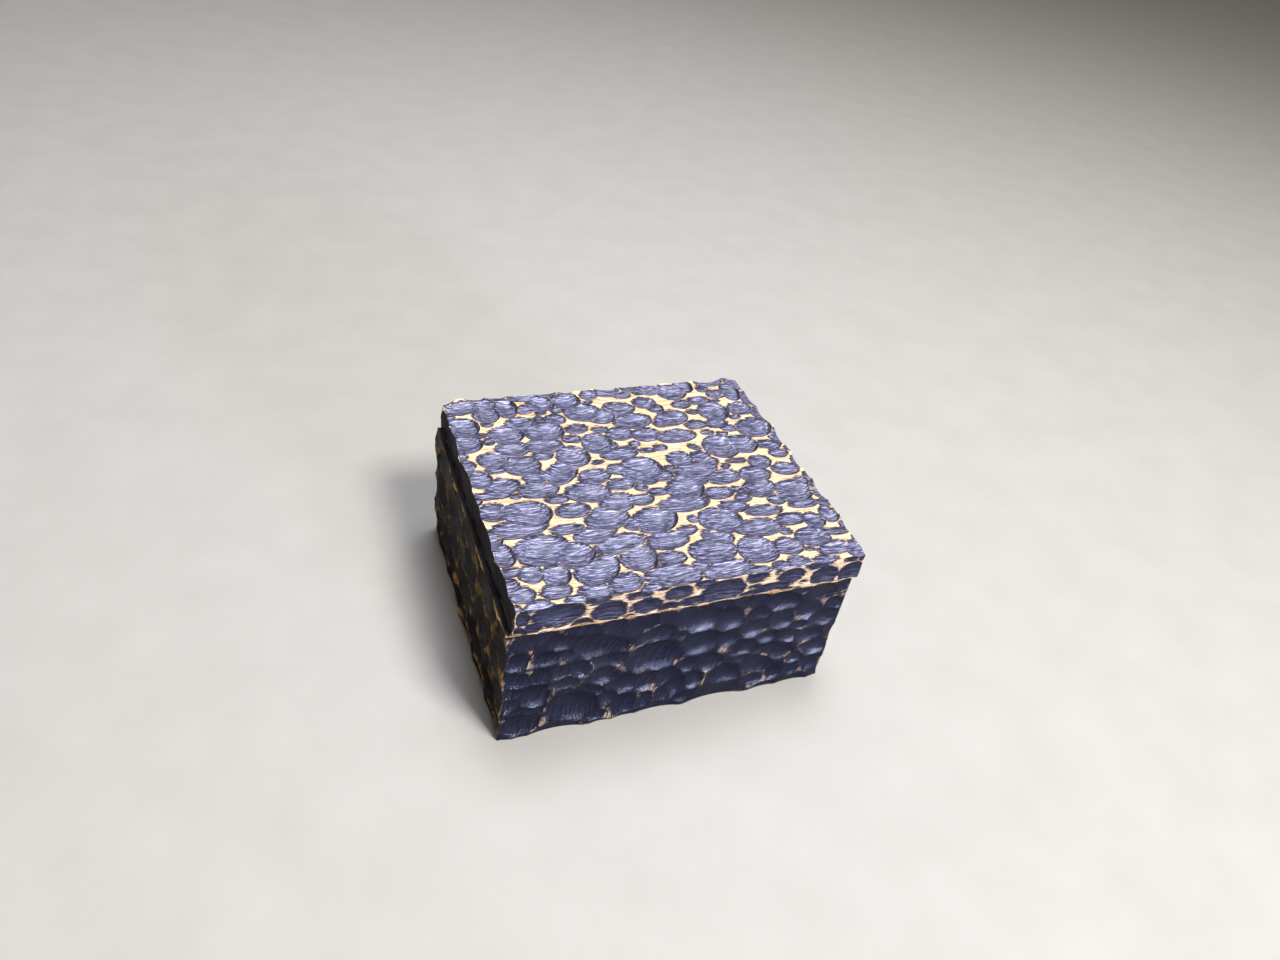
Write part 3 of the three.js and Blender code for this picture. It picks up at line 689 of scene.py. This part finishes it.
def finish_wood(piece, outside, inside, is_inside, sanded_off, soft_angle):
    """Sands the ridges down a little, gives each face its finish and smooths the bowls."""
    crests = mark_crests(piece)
    on_outside = set()
    for face in piece.data.polygons:
        if not is_inside(face.center / mm):
            on_outside.update(face.vertices)
    places = [point.co.copy() for point in piece.data.vertices]
    normals = [point.normal.copy() for point in piece.data.vertices]
    # No point moves further than a quarter of the way to the next one.
    room = [sanded_off * mm] * len(places)
    for edge in piece.data.edges:
        start, stop = edge.vertices
        share = (places[start] - places[stop]).length / 4
        room[start] = min(room[start], share)
        room[stop] = min(room[stop], share)
    # The lowest and highest points and the strip by the hinges stay, for the size and the fit.
    low = min(place.z for place in places) + 0.1 * mm
    high = max(place.z for place in places) - 0.1 * mm
    hinge_strip = (pin_y - 3) * mm
    for index in on_outside:
        spot = places[index]
        if crests[index] > clear_crest and low < spot.z < high and spot.y < hinge_strip:
            piece.data.vertices[index].co = spot - normals[index] * room[index]
    piece.data.materials.clear()
    piece.data.materials.append(outside)
    piece.data.materials.append(inside)
    for face in piece.data.polygons:
        face.material_index = 1 if is_inside(face.center / mm) else 0
    pick(piece)
    bpy.ops.object.shade_smooth_by_angle(angle=math.radians(soft_angle))


def in_from_outside(spot, x):
    """How far in a spot lies from the nearest side of a block whose middle is at x."""
    return min(half_x - abs(spot.x - x), half_y - abs(spot.y - box_y))


# The body's rim and underside aren't gouged, so its stain only looks at how far in a spot lies from
# the sides, as if the block were endlessly high.
endless = 1000
body_pith = (62, 0, -6)
body_outside = gouged_pine(
    "gouged_pine_body",
    True,
    body_pith,
    (body_x, box_y, 0),
    (half_x, half_y, endless),
    {
        "ring_width": 0.6,
        "stain": ("#100d0b", "#241d16", "#423627"),
        "end_stain": ("#0b0b11", "#13131d", "#21222e"),
        "black_stain_and_shade": "#0b0a10",
        "ridge": ("#8a673d", "#b08a55", "#cfae78"),
        "ridge_line": "#5d4423",
        "end_ridge": "#a8927f",
        "sanded_depth": 0.62,
        "patchiness": 2.4,
        "crest_share": 0.95,
        "side_rubbing": -0.1,
        "painted_edge_shade": 0,
        "lustre": "#c2c9ff",
        "gloss": 0.2,
        "wax_roughness": 0.15,
        "relief": 0.4,
        "film_relief": 0.12,
    },
)
body_inside = sanded_pine("sanded_pine_body", True, body_pith)
finish_wood(
    body,
    body_outside,
    body_inside,
    lambda spot: in_from_outside(spot, body_x) > stain_depth and spot.z < body_height - hair,
    sanded_off=0.15,
    soft_angle=40,
)
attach(body, "box")
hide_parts("box_body")

# The lid: a pine board about 10 mm thick with its grain running from left to right, gouged on top
# and round its edges, and finished as the body is. It sits a little to the right of the body.
lid_x = 1
lid_thickness = 10.2
lid_top = seam_top + lid_thickness
top_seed = 7
lid_edge_seed = 201
top_cuts = {
    "stretch": 1.25,
    "half_widths": [5.2, 4.6, 4, 3.4, 2.8, 2.2, 1.7],
    "growth": 1.2,
    "closeness": 0.9,
    "depth_share": 0.3,
    "edge_share": 1,
    "lean": (0.75, -0.6),
    "tries": 2000,
}
lid_edge_cuts = {
    "stretch": 1.35,
    "half_widths": [5, 4.3, 3.6, 2.6, 2, 1.5],
    "growth": 1.12,
    "closeness": 0.9,
    "depth_share": 0.21,
    "edge_share": 1,
    "lean": (0.4, 0),
    "tries": 200,
}
placed_on_top = [
    (-53, -44.5, 3.8, 3.3, 0), (-56, -41, 3.5, 3.5, 0), (-56, -49.5, 2.4, 2.2, 0),
    (-54, -35.5, 4.5, 2.2, 0), (-48.5, -37, 3.9, 3.8, 0), (-41.5, -39, 4.3, 4.5, 0),
    (-43.5, -45, 4.9, 3.3, 0), (-32.5, -47, 5, 3.2, 0), (-23, -46, 5.7, 3.6, 10),
    (-8, -46, 8.9, 4.6, -5), (-34, -32, 6.2, 5.4, 20), (-29.5, -39.5, 7.1, 5, 12),
    (-25, -36.5, 3.9, 3.5, 20), (-15.5, -37, 5.7, 5.4, 25), (-6, -39, 5, 3.1, 0),
    (-4.5, -31.5, 7.2, 4.1, 3), (-19.5, -30, 8.5, 4, 8), (-25, -24.5, 6.9, 3.8, 12),
    (-33, -21, 5.7, 2.5, 0), (-19.5, -18.5, 7, 5.1, 10), (-12.5, -22.5, 3.7, 3.2, 0),
    (-5, -22, 7.3, 5.7, 15), (-42.5, -28, 8.3, 6.2, 5), (-47.5, -32, 3.2, 1.9, 0),
    (-54.5, -28.5, 3.8, 4.8, 0), (-42.5, -12, 7.2, 5.8, -5), (-52.5, -9.5, 5, 4.2, 0),
    (-47.5, -18, 9.7, 4, 5), (-28.5, -13, 5.5, 3.6, 0), (-32, -7, 4.1, 2.4, 5),
    (-21.5, -5.5, 7.3, 4.9, -8), (-13.5, -12, 6.5, 4.3, 12), (-5.5, -12, 4.5, 3, 10),
    (1, -9, 4.1, 2.4, -5), (-10, -3.5, 5, 3.2, 0), (-0.5, 2, 7.2, 6.9, 0), (5, -1.5, 4.1, 3.2, 0),
    (-8.5, 4, 3.2, 3.2, 0), (10.5, -9.5, 6.4, 5.3, 0), (14, -5.5, 6.9, 3.5, -8),
    (26, -6, 6.5, 3.8, 8), (37.5, -6.5, 5.8, 4.2, 0), (42, -0.5, 4.3, 3.6, 0),
    (49.5, -5.5, 5, 3.6, -8), (35.5, -13.5, 5.9, 4.6, 10), (21, -13.5, 5.4, 3.2, 0),
    (7, -16.5, 9, 4, 3), (46.5, -17, 6.9, 5.6, 5), (52, -12.5, 3, 2.4, -20),
    (47, -23.5, 6, 2.7, 3), (38.5, -20, 3.2, 2.8, 0), (28, -17.5, 3.2, 2.5, 0),
    (23, -20.5, 5.3, 3.1, -8), (32, -24.5, 6.5, 2.8, -3), (16, -26, 7.1, 6, -15),
    (26.5, -31.5, 8.2, 4.3, -5), (7.5, -24, 2.2, 2.1, 0), (3, -28.5, 4.2, 2.3, 8),
    (12, -33, 5.3, 3.6, -15), (8, -38.5, 7.5, 5.3, 0), (9, -47, 8.2, 4.1, 5),
    (22, -41, 6.6, 5.6, -10), (32.5, -41.5, 5.2, 3.9, 0), (42.5, -39, 6, 4.5, -5),
    (39, -30, 5.5, 2.9, 0), (46.5, -32, 3.7, 3.6, 0), (53, -30, 3.3, 4.1, 0),
    (51, -38, 4.6, 2.2, -12), (47, -45, 6.5, 3.2, 3), (54, -47, 3.7, 4.3, 0),
    (41, -50, 5.8, 2.9, 0), (32, -49, 4.4, 3.2, 0), (26, -49.5, 3.2, 2.8, 0),
    (38.5, -44, 2.4, 1.4, -5), (-51, 45.5, 6.3, 4.1, 15), (-43.5, 40.5, 4.5, 5, 0),
    (-36, 43, 3.8, 5.8, 0), (-42.5, 46, 3.8, 3.2, 0), (-52.5, 34, 5.2, 5.4, 0),
    (-53.5, 25, 5.1, 5, 0), (-23.5, 44, 4.8, 4.8, 0), (-30, 41, 3.5, 2.6, 0),
    (-28.5, 48.5, 5.4, 3, 0), (-14, 44.5, 5.3, 5.1, 10), (-33.5, 33.5, 5.4, 3.7, 5),
    (-39.5, 28, 5.8, 5.2, 0), (-46, 25, 2.2, 2.2, 0), (-39.5, 20, 5.6, 4.3, 0),
    (-26.5, 28, 6.9, 5.4, 0), (-20.5, 34, 3.8, 3.1, -5), (-28.5, 20, 6.5, 4.2, 0),
    (-30.5, 15, 4, 2.6, 5), (-15, 27.5, 4.4, 3, 5), (-7, 26, 3.6, 2.2, -5),
    (-10, 36.5, 6.4, 5.3, -5), (-4.5, 33.5, 5.4, 4.3, 0), (3.5, 37, 6, 4.1, -5),
    (-10.5, 18.5, 5.3, 5.6, 0), (-6, 16.5, 2.4, 2.4, 0), (-20.5, 13, 5.4, 5.6, 30),
    (-46.5, 15.5, 5.6, 4.3, 0), (-47.5, 10.5, 3.5, 2.4, 0), (-38.5, 11, 5.9, 4.8, 0),
    (-55.5, 13.5, 2.7, 3.1, 0), (-53.5, 6.5, 4.1, 4.3, 0), (-35.5, 5, 4.2, 3.7, 0),
    (-27, 5.5, 6.9, 4.6, 40), (-47, 2, 5.9, 3.9, 5), (-51, -1.5, 6.8, 2.6, 0),
    (-36.5, -1.5, 6.5, 4.2, 5), (-17, 2, 5.7, 3.8, 8), (-13.5, 8.5, 2.5, 1.6, 10),
    (-4.5, 12, 7, 3.5, 10), (-1, 22.5, 5, 4, 0), (-4.5, 46.5, 3.7, 3.1, 0), (3, 48, 4.8, 3.9, 0),
    (7.5, 45, 3.7, 2.7, 0), (19.5, 47.5, 5.1, 4.3, 0), (12.5, 49.5, 4.3, 3.2, 0),
    (14.5, 46, 2.8, 2.2, 0), (27, 44, 5.6, 4.8, 15), (32.5, 47, 3.7, 4.3, 0),
    (32, 52.5, 6.5, 3.2, 0), (44, 49.5, 5.7, 4.3, 10), (49.5, 41, 3.7, 5.4, 0),
    (43, 40.5, 3.5, 3.1, 0), (14, 39, 4.3, 3.7, 0), (17, 35, 3.1, 2.8, 0), (27.5, 36, 4, 2.9, 0),
    (35, 37.5, 4.6, 3, 0), (6, 29, 7.1, 4.6, 5), (20.5, 28.5, 6.5, 4.5, 10),
    (15.5, 26, 3, 2.6, 0), (38, 30, 5.8, 5.6, 0), (49, 30.5, 4.6, 4.3, 0),
    (28, 23.5, 4.4, 2.6, 5), (36, 23, 4.5, 2.8, 0), (39.5, 19.5, 3.7, 2.4, -15),
    (8, 20.5, 5.7, 3.9, -5), (18.5, 18, 7.6, 3.9, 5), (49, 18.5, 6.7, 5.6, 15),
    (32, 10, 6.4, 6.2, 0), (40, 10, 6, 5.1, -10), (50, 8, 4.6, 2.9, -5), (51, 3, 3.8, 2.7, 0),
    (5, 12, 3.7, 1.9, 0), (14.5, 6, 4.4, 4, 0), (22.5, 6, 4, 2.9, 0), (22.5, 11, 2.6, 1.9, -30),
    (23.5, 2.5, 4.6, 3, -5), (18, -0.5, 8, 4.2, 5), (34, 1.5, 4.1, 1.9, 0),
]
placed_on_lid_front = [
    (-54.5, 1.5, 3, 3.4, 0), (-43.5, 1, 8.2, 4.9, 0), (-50.5, -2.5, 3.6, 2.4, 15),
    (-28.5, -1, 5.4, 4.1, 0), (-20, 3.5, 4.8, 2, -3), (-17, -1.5, 5.5, 3.2, 0),
    (-7.5, 1.5, 4.8, 3.2, 0), (-2, -3, 5.5, 2.5, 0), (7.5, -1, 7.4, 5, 0), (18, 3, 4.1, 2.8, 0),
    (18, -1, 3, 1.5, 0), (24.5, -3.5, 7.2, 3.1, 0), (30, 1, 5.1, 3.2, 0),
    (35.5, -2.5, 2.1, 1.2, 0), (42.5, -1.5, 5, 4.3, 0), (52.5, -2, 5.2, 4.5, 0),
]

lid = block(
    "carved_lid",
    (lid_x - half_x, box_y - half_y, seam_top),
    (lid_x + half_x, box_y + half_y, lid_top),
)
shape(lid, "EDGE", upright)
bevel_picked(corner_radius, steps=5)
lid_middle = seam_top + lid_thickness / 2
cut_away(
    lid,
    hinge_recesses(1)
    + gouge_tools(
        (lid_x, box_y, lid_top),
        (1, 0, 0),
        (0, 1, 0),
        box_width,
        box_depth,
        top_cuts,
        placed_on_top,
        top_seed,
    )
    + side_faces(
        lid_x, lid_middle, lid_thickness, lid_edge_cuts, placed_on_lid_front, lid_edge_seed
    ),
)
lid_pith = (0, 90, -60)
lid_outside = gouged_pine(
    "gouged_pine_lid",
    False,
    lid_pith,
    (lid_x, box_y, lid_middle),
    (half_x, half_y, lid_thickness / 2),
    {
        "ring_width": 0.7,
        # The lid's stain rises to pale violet-grey along the fibres: a painted sheen of the wax on the
        # dark stain.
        "stain": ("#15141d", "#4a495e", "#9997b6"),
        "end_stain": ("#121118", "#232230", "#3d3b50"),
        "black_stain_and_shade": "#0b090e",
        "ridge": ("#a98d66", "#dcbd8d", "#f0dcb6"),
        "ridge_line": "#80654a",
        "end_ridge": "#a88c64",
        "sanded_depth": 0.24,
        "patchiness": 0.3,
        "crest_share": 0.5,
        "side_rubbing": -0.4,
        "painted_edge_shade": 0.9,
        "lustre": "#c2c9ff",
        "gloss": 0.4,
        "wax_roughness": 0.2,
        "relief": 0.4,
        "film_relief": 0.2,
    },
)
lid_inside = sanded_pine("sanded_pine_lid", False, lid_pith)
finish_wood(
    lid,
    lid_outside,
    lid_inside,
    lambda spot: in_from_outside(spot, lid_x) > stain_depth and spot.z < lid_top - stain_depth,
    sanded_off=0.06,
    soft_angle=18,
)
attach(lid, "hinged_lid")
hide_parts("lid")
bpy.data.objects.remove(gouge_bowl)

# The two butt hinges: drawn brass, each with a leaf let into the body's rim and one let into the
# lid, knuckles rolled round a pin, and four slotted countersunk screws.
knuckle_gap = 0.3
middle_knuckle = 6.6
pin_radius = 0.8
pin_clearance = 0.06
pin_rounding = 0.3
screw_head_radius = 1.7
screw_head_height = 0.8
screw_radius = 0.85
screw_length = 6
screw_tip = 1.7
screw_point = 0.08
screw_fit = 0.12
slot_half_width = 0.22
slot_depth = 0.5
edge_rounding = 0.1
# How far a tool reaches past what it cuts: to the sides, right through, and by just a sliver
beyond = 3
through = 4
sliver = 0.01


def combine(piece, other, operation):
    """Joins another solid to a piece, or takes it away, and clears the other up."""
    pick(piece)
    step = piece.modifiers.new("step", "BOOLEAN")
    step.operation = operation
    step.object = other
    step.solver = "MANIFOLD"
    bpy.ops.object.modifier_apply(modifier="step")
    bpy.data.objects.remove(other)


def satin_brass(name):
    """Drawn brass with a satin rub: fine lines along the leaf, and duller where hands don't reach."""
    made, tree, shader = new_material(name)
    place = node(tree, "TexCoord").outputs["Object"]
    place = node(tree, "VectorMath", {0: place, "Scale": 1 / mm}, operation="SCALE")
    drawn = node(tree, "VectorMath", {0: place, 1: (0.15, 3, 3)}, operation="MULTIPLY")
    lines = node(tree, "TexNoise", {"Vector": drawn, "Scale": 2, "Detail": 3})
    dull = node(tree, "TexNoise", {"Vector": place, "Scale": 0.35, "Detail": 3})
    tone = node(
        tree, "ValToRGB", {0: dull}, [(0.35, "#8f6d35"), (0.6, "#c09a52"), (0.8, "#d4b06a")]
    )
    tree.links.new(tone.outputs[0], shader.inputs["Base Color"])
    gloss = node(tree, "MapRange", {0: lines, 1: 0.3, 2: 0.7, 3: 0.26, 4: 0.42})
    tree.links.new(gloss.outputs[0], shader.inputs["Roughness"])
    bump = node(tree, "Bump", {"Height": lines, "Strength": 0.25, "Distance": 0.03 * mm})
    tree.links.new(bump.outputs[0], shader.inputs["Normal"])
    shader.inputs["Metallic"].default_value = 1
    return made


brass = satin_brass("satin_brass")


def dress_brass(piece, soft_angle):
    """Gives a piece its brass, and smooths its round faces."""
    piece.data.materials.clear()
    piece.data.materials.append(brass)
    pick(piece)
    bpy.ops.object.shade_smooth_by_angle(angle=math.radians(soft_angle))


def place_copy(model, name, matrix, body_name, node_name):
    """A copy of a modelled piece with its own mesh, put where the node that it stands for is."""
    mesh = model.data.copy()
    mesh.transform(matrix)
    made = bpy.data.objects.new(name, mesh)
    bpy.context.scene.collection.objects.link(made)
    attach(made, body_name)
    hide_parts(node_name)


def round_ends(points):
    """Picks the round edges at the two ends of a rod along X."""
    return abs(points[0].x - points[-1].x) < hair


def leaf_model(side):
    """A leaf of the hinge at x = 0: two end knuckles below the seam, the middle one above it."""
    seam = body_height if side < 0 else seam_top
    low, high = sorted((seam, seam + side * leaf_thickness))
    half = middle_knuckle / 2
    end = hinge_length / 2
    leaf = block("leaf_model", (-end, pin_y - leaf_width, low), (end, pin_y, high))
    shape(leaf, "EDGE", lambda points: True)
    bevel_picked(edge_rounding, steps=2)
    if side < 0:
        knuckles = [(-end, -half - knuckle_gap), (half + knuckle_gap, end)]
        gaps = [(-half - knuckle_gap, half + knuckle_gap)]
    else:
        knuckles = [(-half, half)]
        gaps = [(-end - 1, -half), (half, end + 1)]
    for start, stop in gaps:
        tool = block(
            "gap_tool",
            (start, pin_y - knuckle_radius - knuckle_fit / 2, pin_z - beyond),
            (stop, pin_y + beyond, pin_z + beyond),
        )
        combine(leaf, tool, "DIFFERENCE")
    for start, stop in knuckles:
        middle = ((start + stop) / 2, pin_y, pin_z)
        roll = rod("roll", knuckle_radius, stop - start, middle, sides=40, along="X")
        shape(roll, "EDGE", round_ends)
        bevel_picked(edge_rounding, steps=2)
        combine(leaf, roll, "UNION")
    bore_radius = pin_radius + pin_clearance
    bore_length = hinge_length + through
    bore = rod("bore", bore_radius, bore_length, (0, pin_y, pin_z), sides=32, along="X")
    combine(leaf, bore, "DIFFERENCE")
    head = screw_head_radius + screw_fit
    shank = screw_radius + 2 * screw_fit
    sink_depth = screw_head_height + screw_fit
    sink_z = seam + side * (sink_depth / 2 - sliver)
    for x in (-screw_spread / 2, screw_spread / 2):
        hole = rod("hole", shank, through, (x, screw_y, seam + side), sides=32)
        combine(leaf, hole, "DIFFERENCE")
        bpy.ops.object.select_all(action="DESELECT")
        bpy.ops.mesh.primitive_cone_add(
            vertices=32,
            radius1=(head if side > 0 else shank) * mm,
            radius2=(shank if side > 0 else head) * mm,
            depth=sink_depth * mm,
            location=(x * mm, screw_y * mm, sink_z * mm),
        )
        sink = bpy.context.object
        settle(sink)
        combine(leaf, sink, "DIFFERENCE")
    dress_brass(leaf, soft_angle=25)
    return leaf


lower_leaf = leaf_model(-1)
upper_leaf = leaf_model(1)

# The pin, a brass wire with its ends rounded over
pin_place = (0, pin_y, pin_z)
pin_model = rod("pin_model", pin_radius, hinge_length, pin_place, sides=32, along="X")
shape(pin_model, "EDGE", round_ends)
bevel_picked(pin_rounding, steps=4)
dress_brass(pin_model, soft_angle=40)

# A countersunk wood screw, head up, its slot cut across: turned from one rod
shank_end = screw_length - screw_tip
shank_middle = (0, 0, -(shank_end + screw_head_height) / 2)
shank_length = shank_end - screw_head_height
screw_model = rod("screw_model", screw_radius, shank_length, shank_middle, sides=24)
shape(screw_model, "FACE", level_at(-screw_head_height))
head_share = screw_head_radius / screw_radius
draw_out(screw_head_height - screw_fit, head_share, head_share)
shape(screw_model, "FACE", level_at(-shank_end))
draw_out(-screw_tip, screw_point, screw_point)
slot_tool = block(
    "slot_tool", (-beyond, -slot_half_width, -slot_depth), (beyond, slot_half_width, slot_depth)
)
combine(screw_model, slot_tool, "DIFFERENCE")
dress_brass(screw_model, soft_angle=35)

# No two slots stopped at the same angle.
slot_turns = iter((20, 75, 110, 5, 150, 60, 95, 35))
for side_name, x in zip(("left", "right"), hinge_places):
    across = Matrix.Translation((x * mm, 0, 0))
    start = f"hinge_{side_name}"
    place_copy(lower_leaf, f"{side_name}_lower_leaf", across, "box", f"{start}_body_leaf")
    place_copy(upper_leaf, f"{side_name}_upper_leaf", across, "hinged_lid", f"{start}_lid_leaf")
    place_copy(pin_model, f"{side_name}_hinge_pin", across, "box", f"{start}_pin")
    for index, screw_x in enumerate((x - screw_spread / 2, x + screw_spread / 2)):
        for rides_on, part, seam, flip in (
            ("box", "body", body_height, 0),
            ("hinged_lid", "lid", seam_top, math.pi),
        ):
            place_copy(
                screw_model,
                f"{side_name}_{part}_screw_{index + 1}_brass",
                Matrix.Translation((screw_x * mm, screw_y * mm, seam * mm))
                @ Matrix.Rotation(flip, 4, "X")
                @ Matrix.Rotation(math.radians(next(slot_turns)), 4, "Z"),
                rides_on,
                f"{start}_{part}_screw_{index + 1}",
            )
for model in (lower_leaf, upper_leaf, pin_model, screw_model):
    bpy.data.objects.remove(model)

# The studio: a plain pale floor, a soft lamp high up in front on the right, a wider one overhead, a
# faint low one in front that the wax mirrors, and the photograph's view from above the front left.
bpy.ops.object.select_all(action="DESELECT")
bpy.ops.mesh.primitive_plane_add(size=12, location=(0, 0, 0))
floor = bpy.context.object
floor.name = "studio_floor"
settle(floor)
paper, paper_tree, paper_shader = new_material("floor_paper")
on_floor = node(paper_tree, "TexCoord").outputs["Object"]
mottle = node(paper_tree, "TexNoise", {"Vector": on_floor, "Scale": 40, "Detail": 3})
tint = node(paper_tree, "ValToRGB", {0: mottle}, [(0.3, "#939089"), (0.7, "#97948d")])
# Pale to the camera and darker to every other ray, so that it throws little light back at the box
seen = node(paper_tree, "LightPath").outputs["Is Camera Ray"]
tint = node(paper_tree, "Mix", {0: seen, mix_a: colour("#403e3a"), mix_b: tint}, **of_colours)
paper_tree.links.new(tint.outputs[2], paper_shader.inputs["Base Color"])
paper_shader.inputs["Roughness"].default_value = 0.9
paper_shader.inputs["Specular IOR Level"].default_value = 0.1
floor.data.materials.append(paper)

# The light of the room: what the box mirrors of it is cooler than what falls on the box.
world = bpy.data.worlds.new("studio")
bpy.context.scene.world = world
world.use_nodes = True
sky = world.node_tree
background = sky.nodes["Background"]
background.inputs["Strength"].default_value = 0.3
mirrored = node(sky, "LightPath").outputs["Is Glossy Ray"]
glow = node(
    sky, "Mix", {0: mirrored, mix_a: colour("#f6f2ea"), mix_b: colour("#dfe3f6")}, **of_colours
)
sky.links.new(glow.outputs[2], background.inputs["Color"])


def lamp(name, place, size, spread_angle, power, tint_code):
    """A square soft lamp aimed at the box, in metres, degrees and watts."""
    made = bpy.data.lights.new(name, "AREA")
    made.shape = "SQUARE"
    made.size = size
    made.spread = math.radians(spread_angle)
    made.energy = power
    made.color = colour(tint_code)[:3]
    holder = bpy.data.objects.new(name, made)
    bpy.context.scene.collection.objects.link(holder)
    holder.location = place
    aim = Vector((0, 0, 0.03)) - Vector(place)
    holder.rotation_euler = aim.to_track_quat("-Z", "Y").to_euler()


lamp("key", (0.26, -0.59, 1), 0.3, 180, 23, "#fffdfb")
lamp("window", (0.12, 0.2, 1.1), 0.5, 180, 15, "#eaeeff")
lamp("room", (0.4, -1.25, 0.24), 0.25, 40, 1.5, "#ccd5ff")

camera = bpy.data.cameras.new("camera")
camera.lens = 27
camera.sensor_width = 36
camera_holder = bpy.data.objects.new("camera", camera)
bpy.context.scene.collection.objects.link(camera_holder)
camera_place = (-0.1112, -0.2228, 0.2493)
turn_right, look_down, tip = math.radians(26.62), math.radians(38.11), math.radians(10.34)
camera_holder.matrix_world = (
    Matrix.Translation(camera_place)
    @ Matrix.Rotation(-turn_right, 4, "Z")
    @ Matrix.Rotation(math.pi / 2 - look_down, 4, "X")
    @ Matrix.Rotation(tip, 4, "Z")
)
bpy.context.scene.camera = camera_holder
bpy.context.scene.view_settings.view_transform = "Standard"
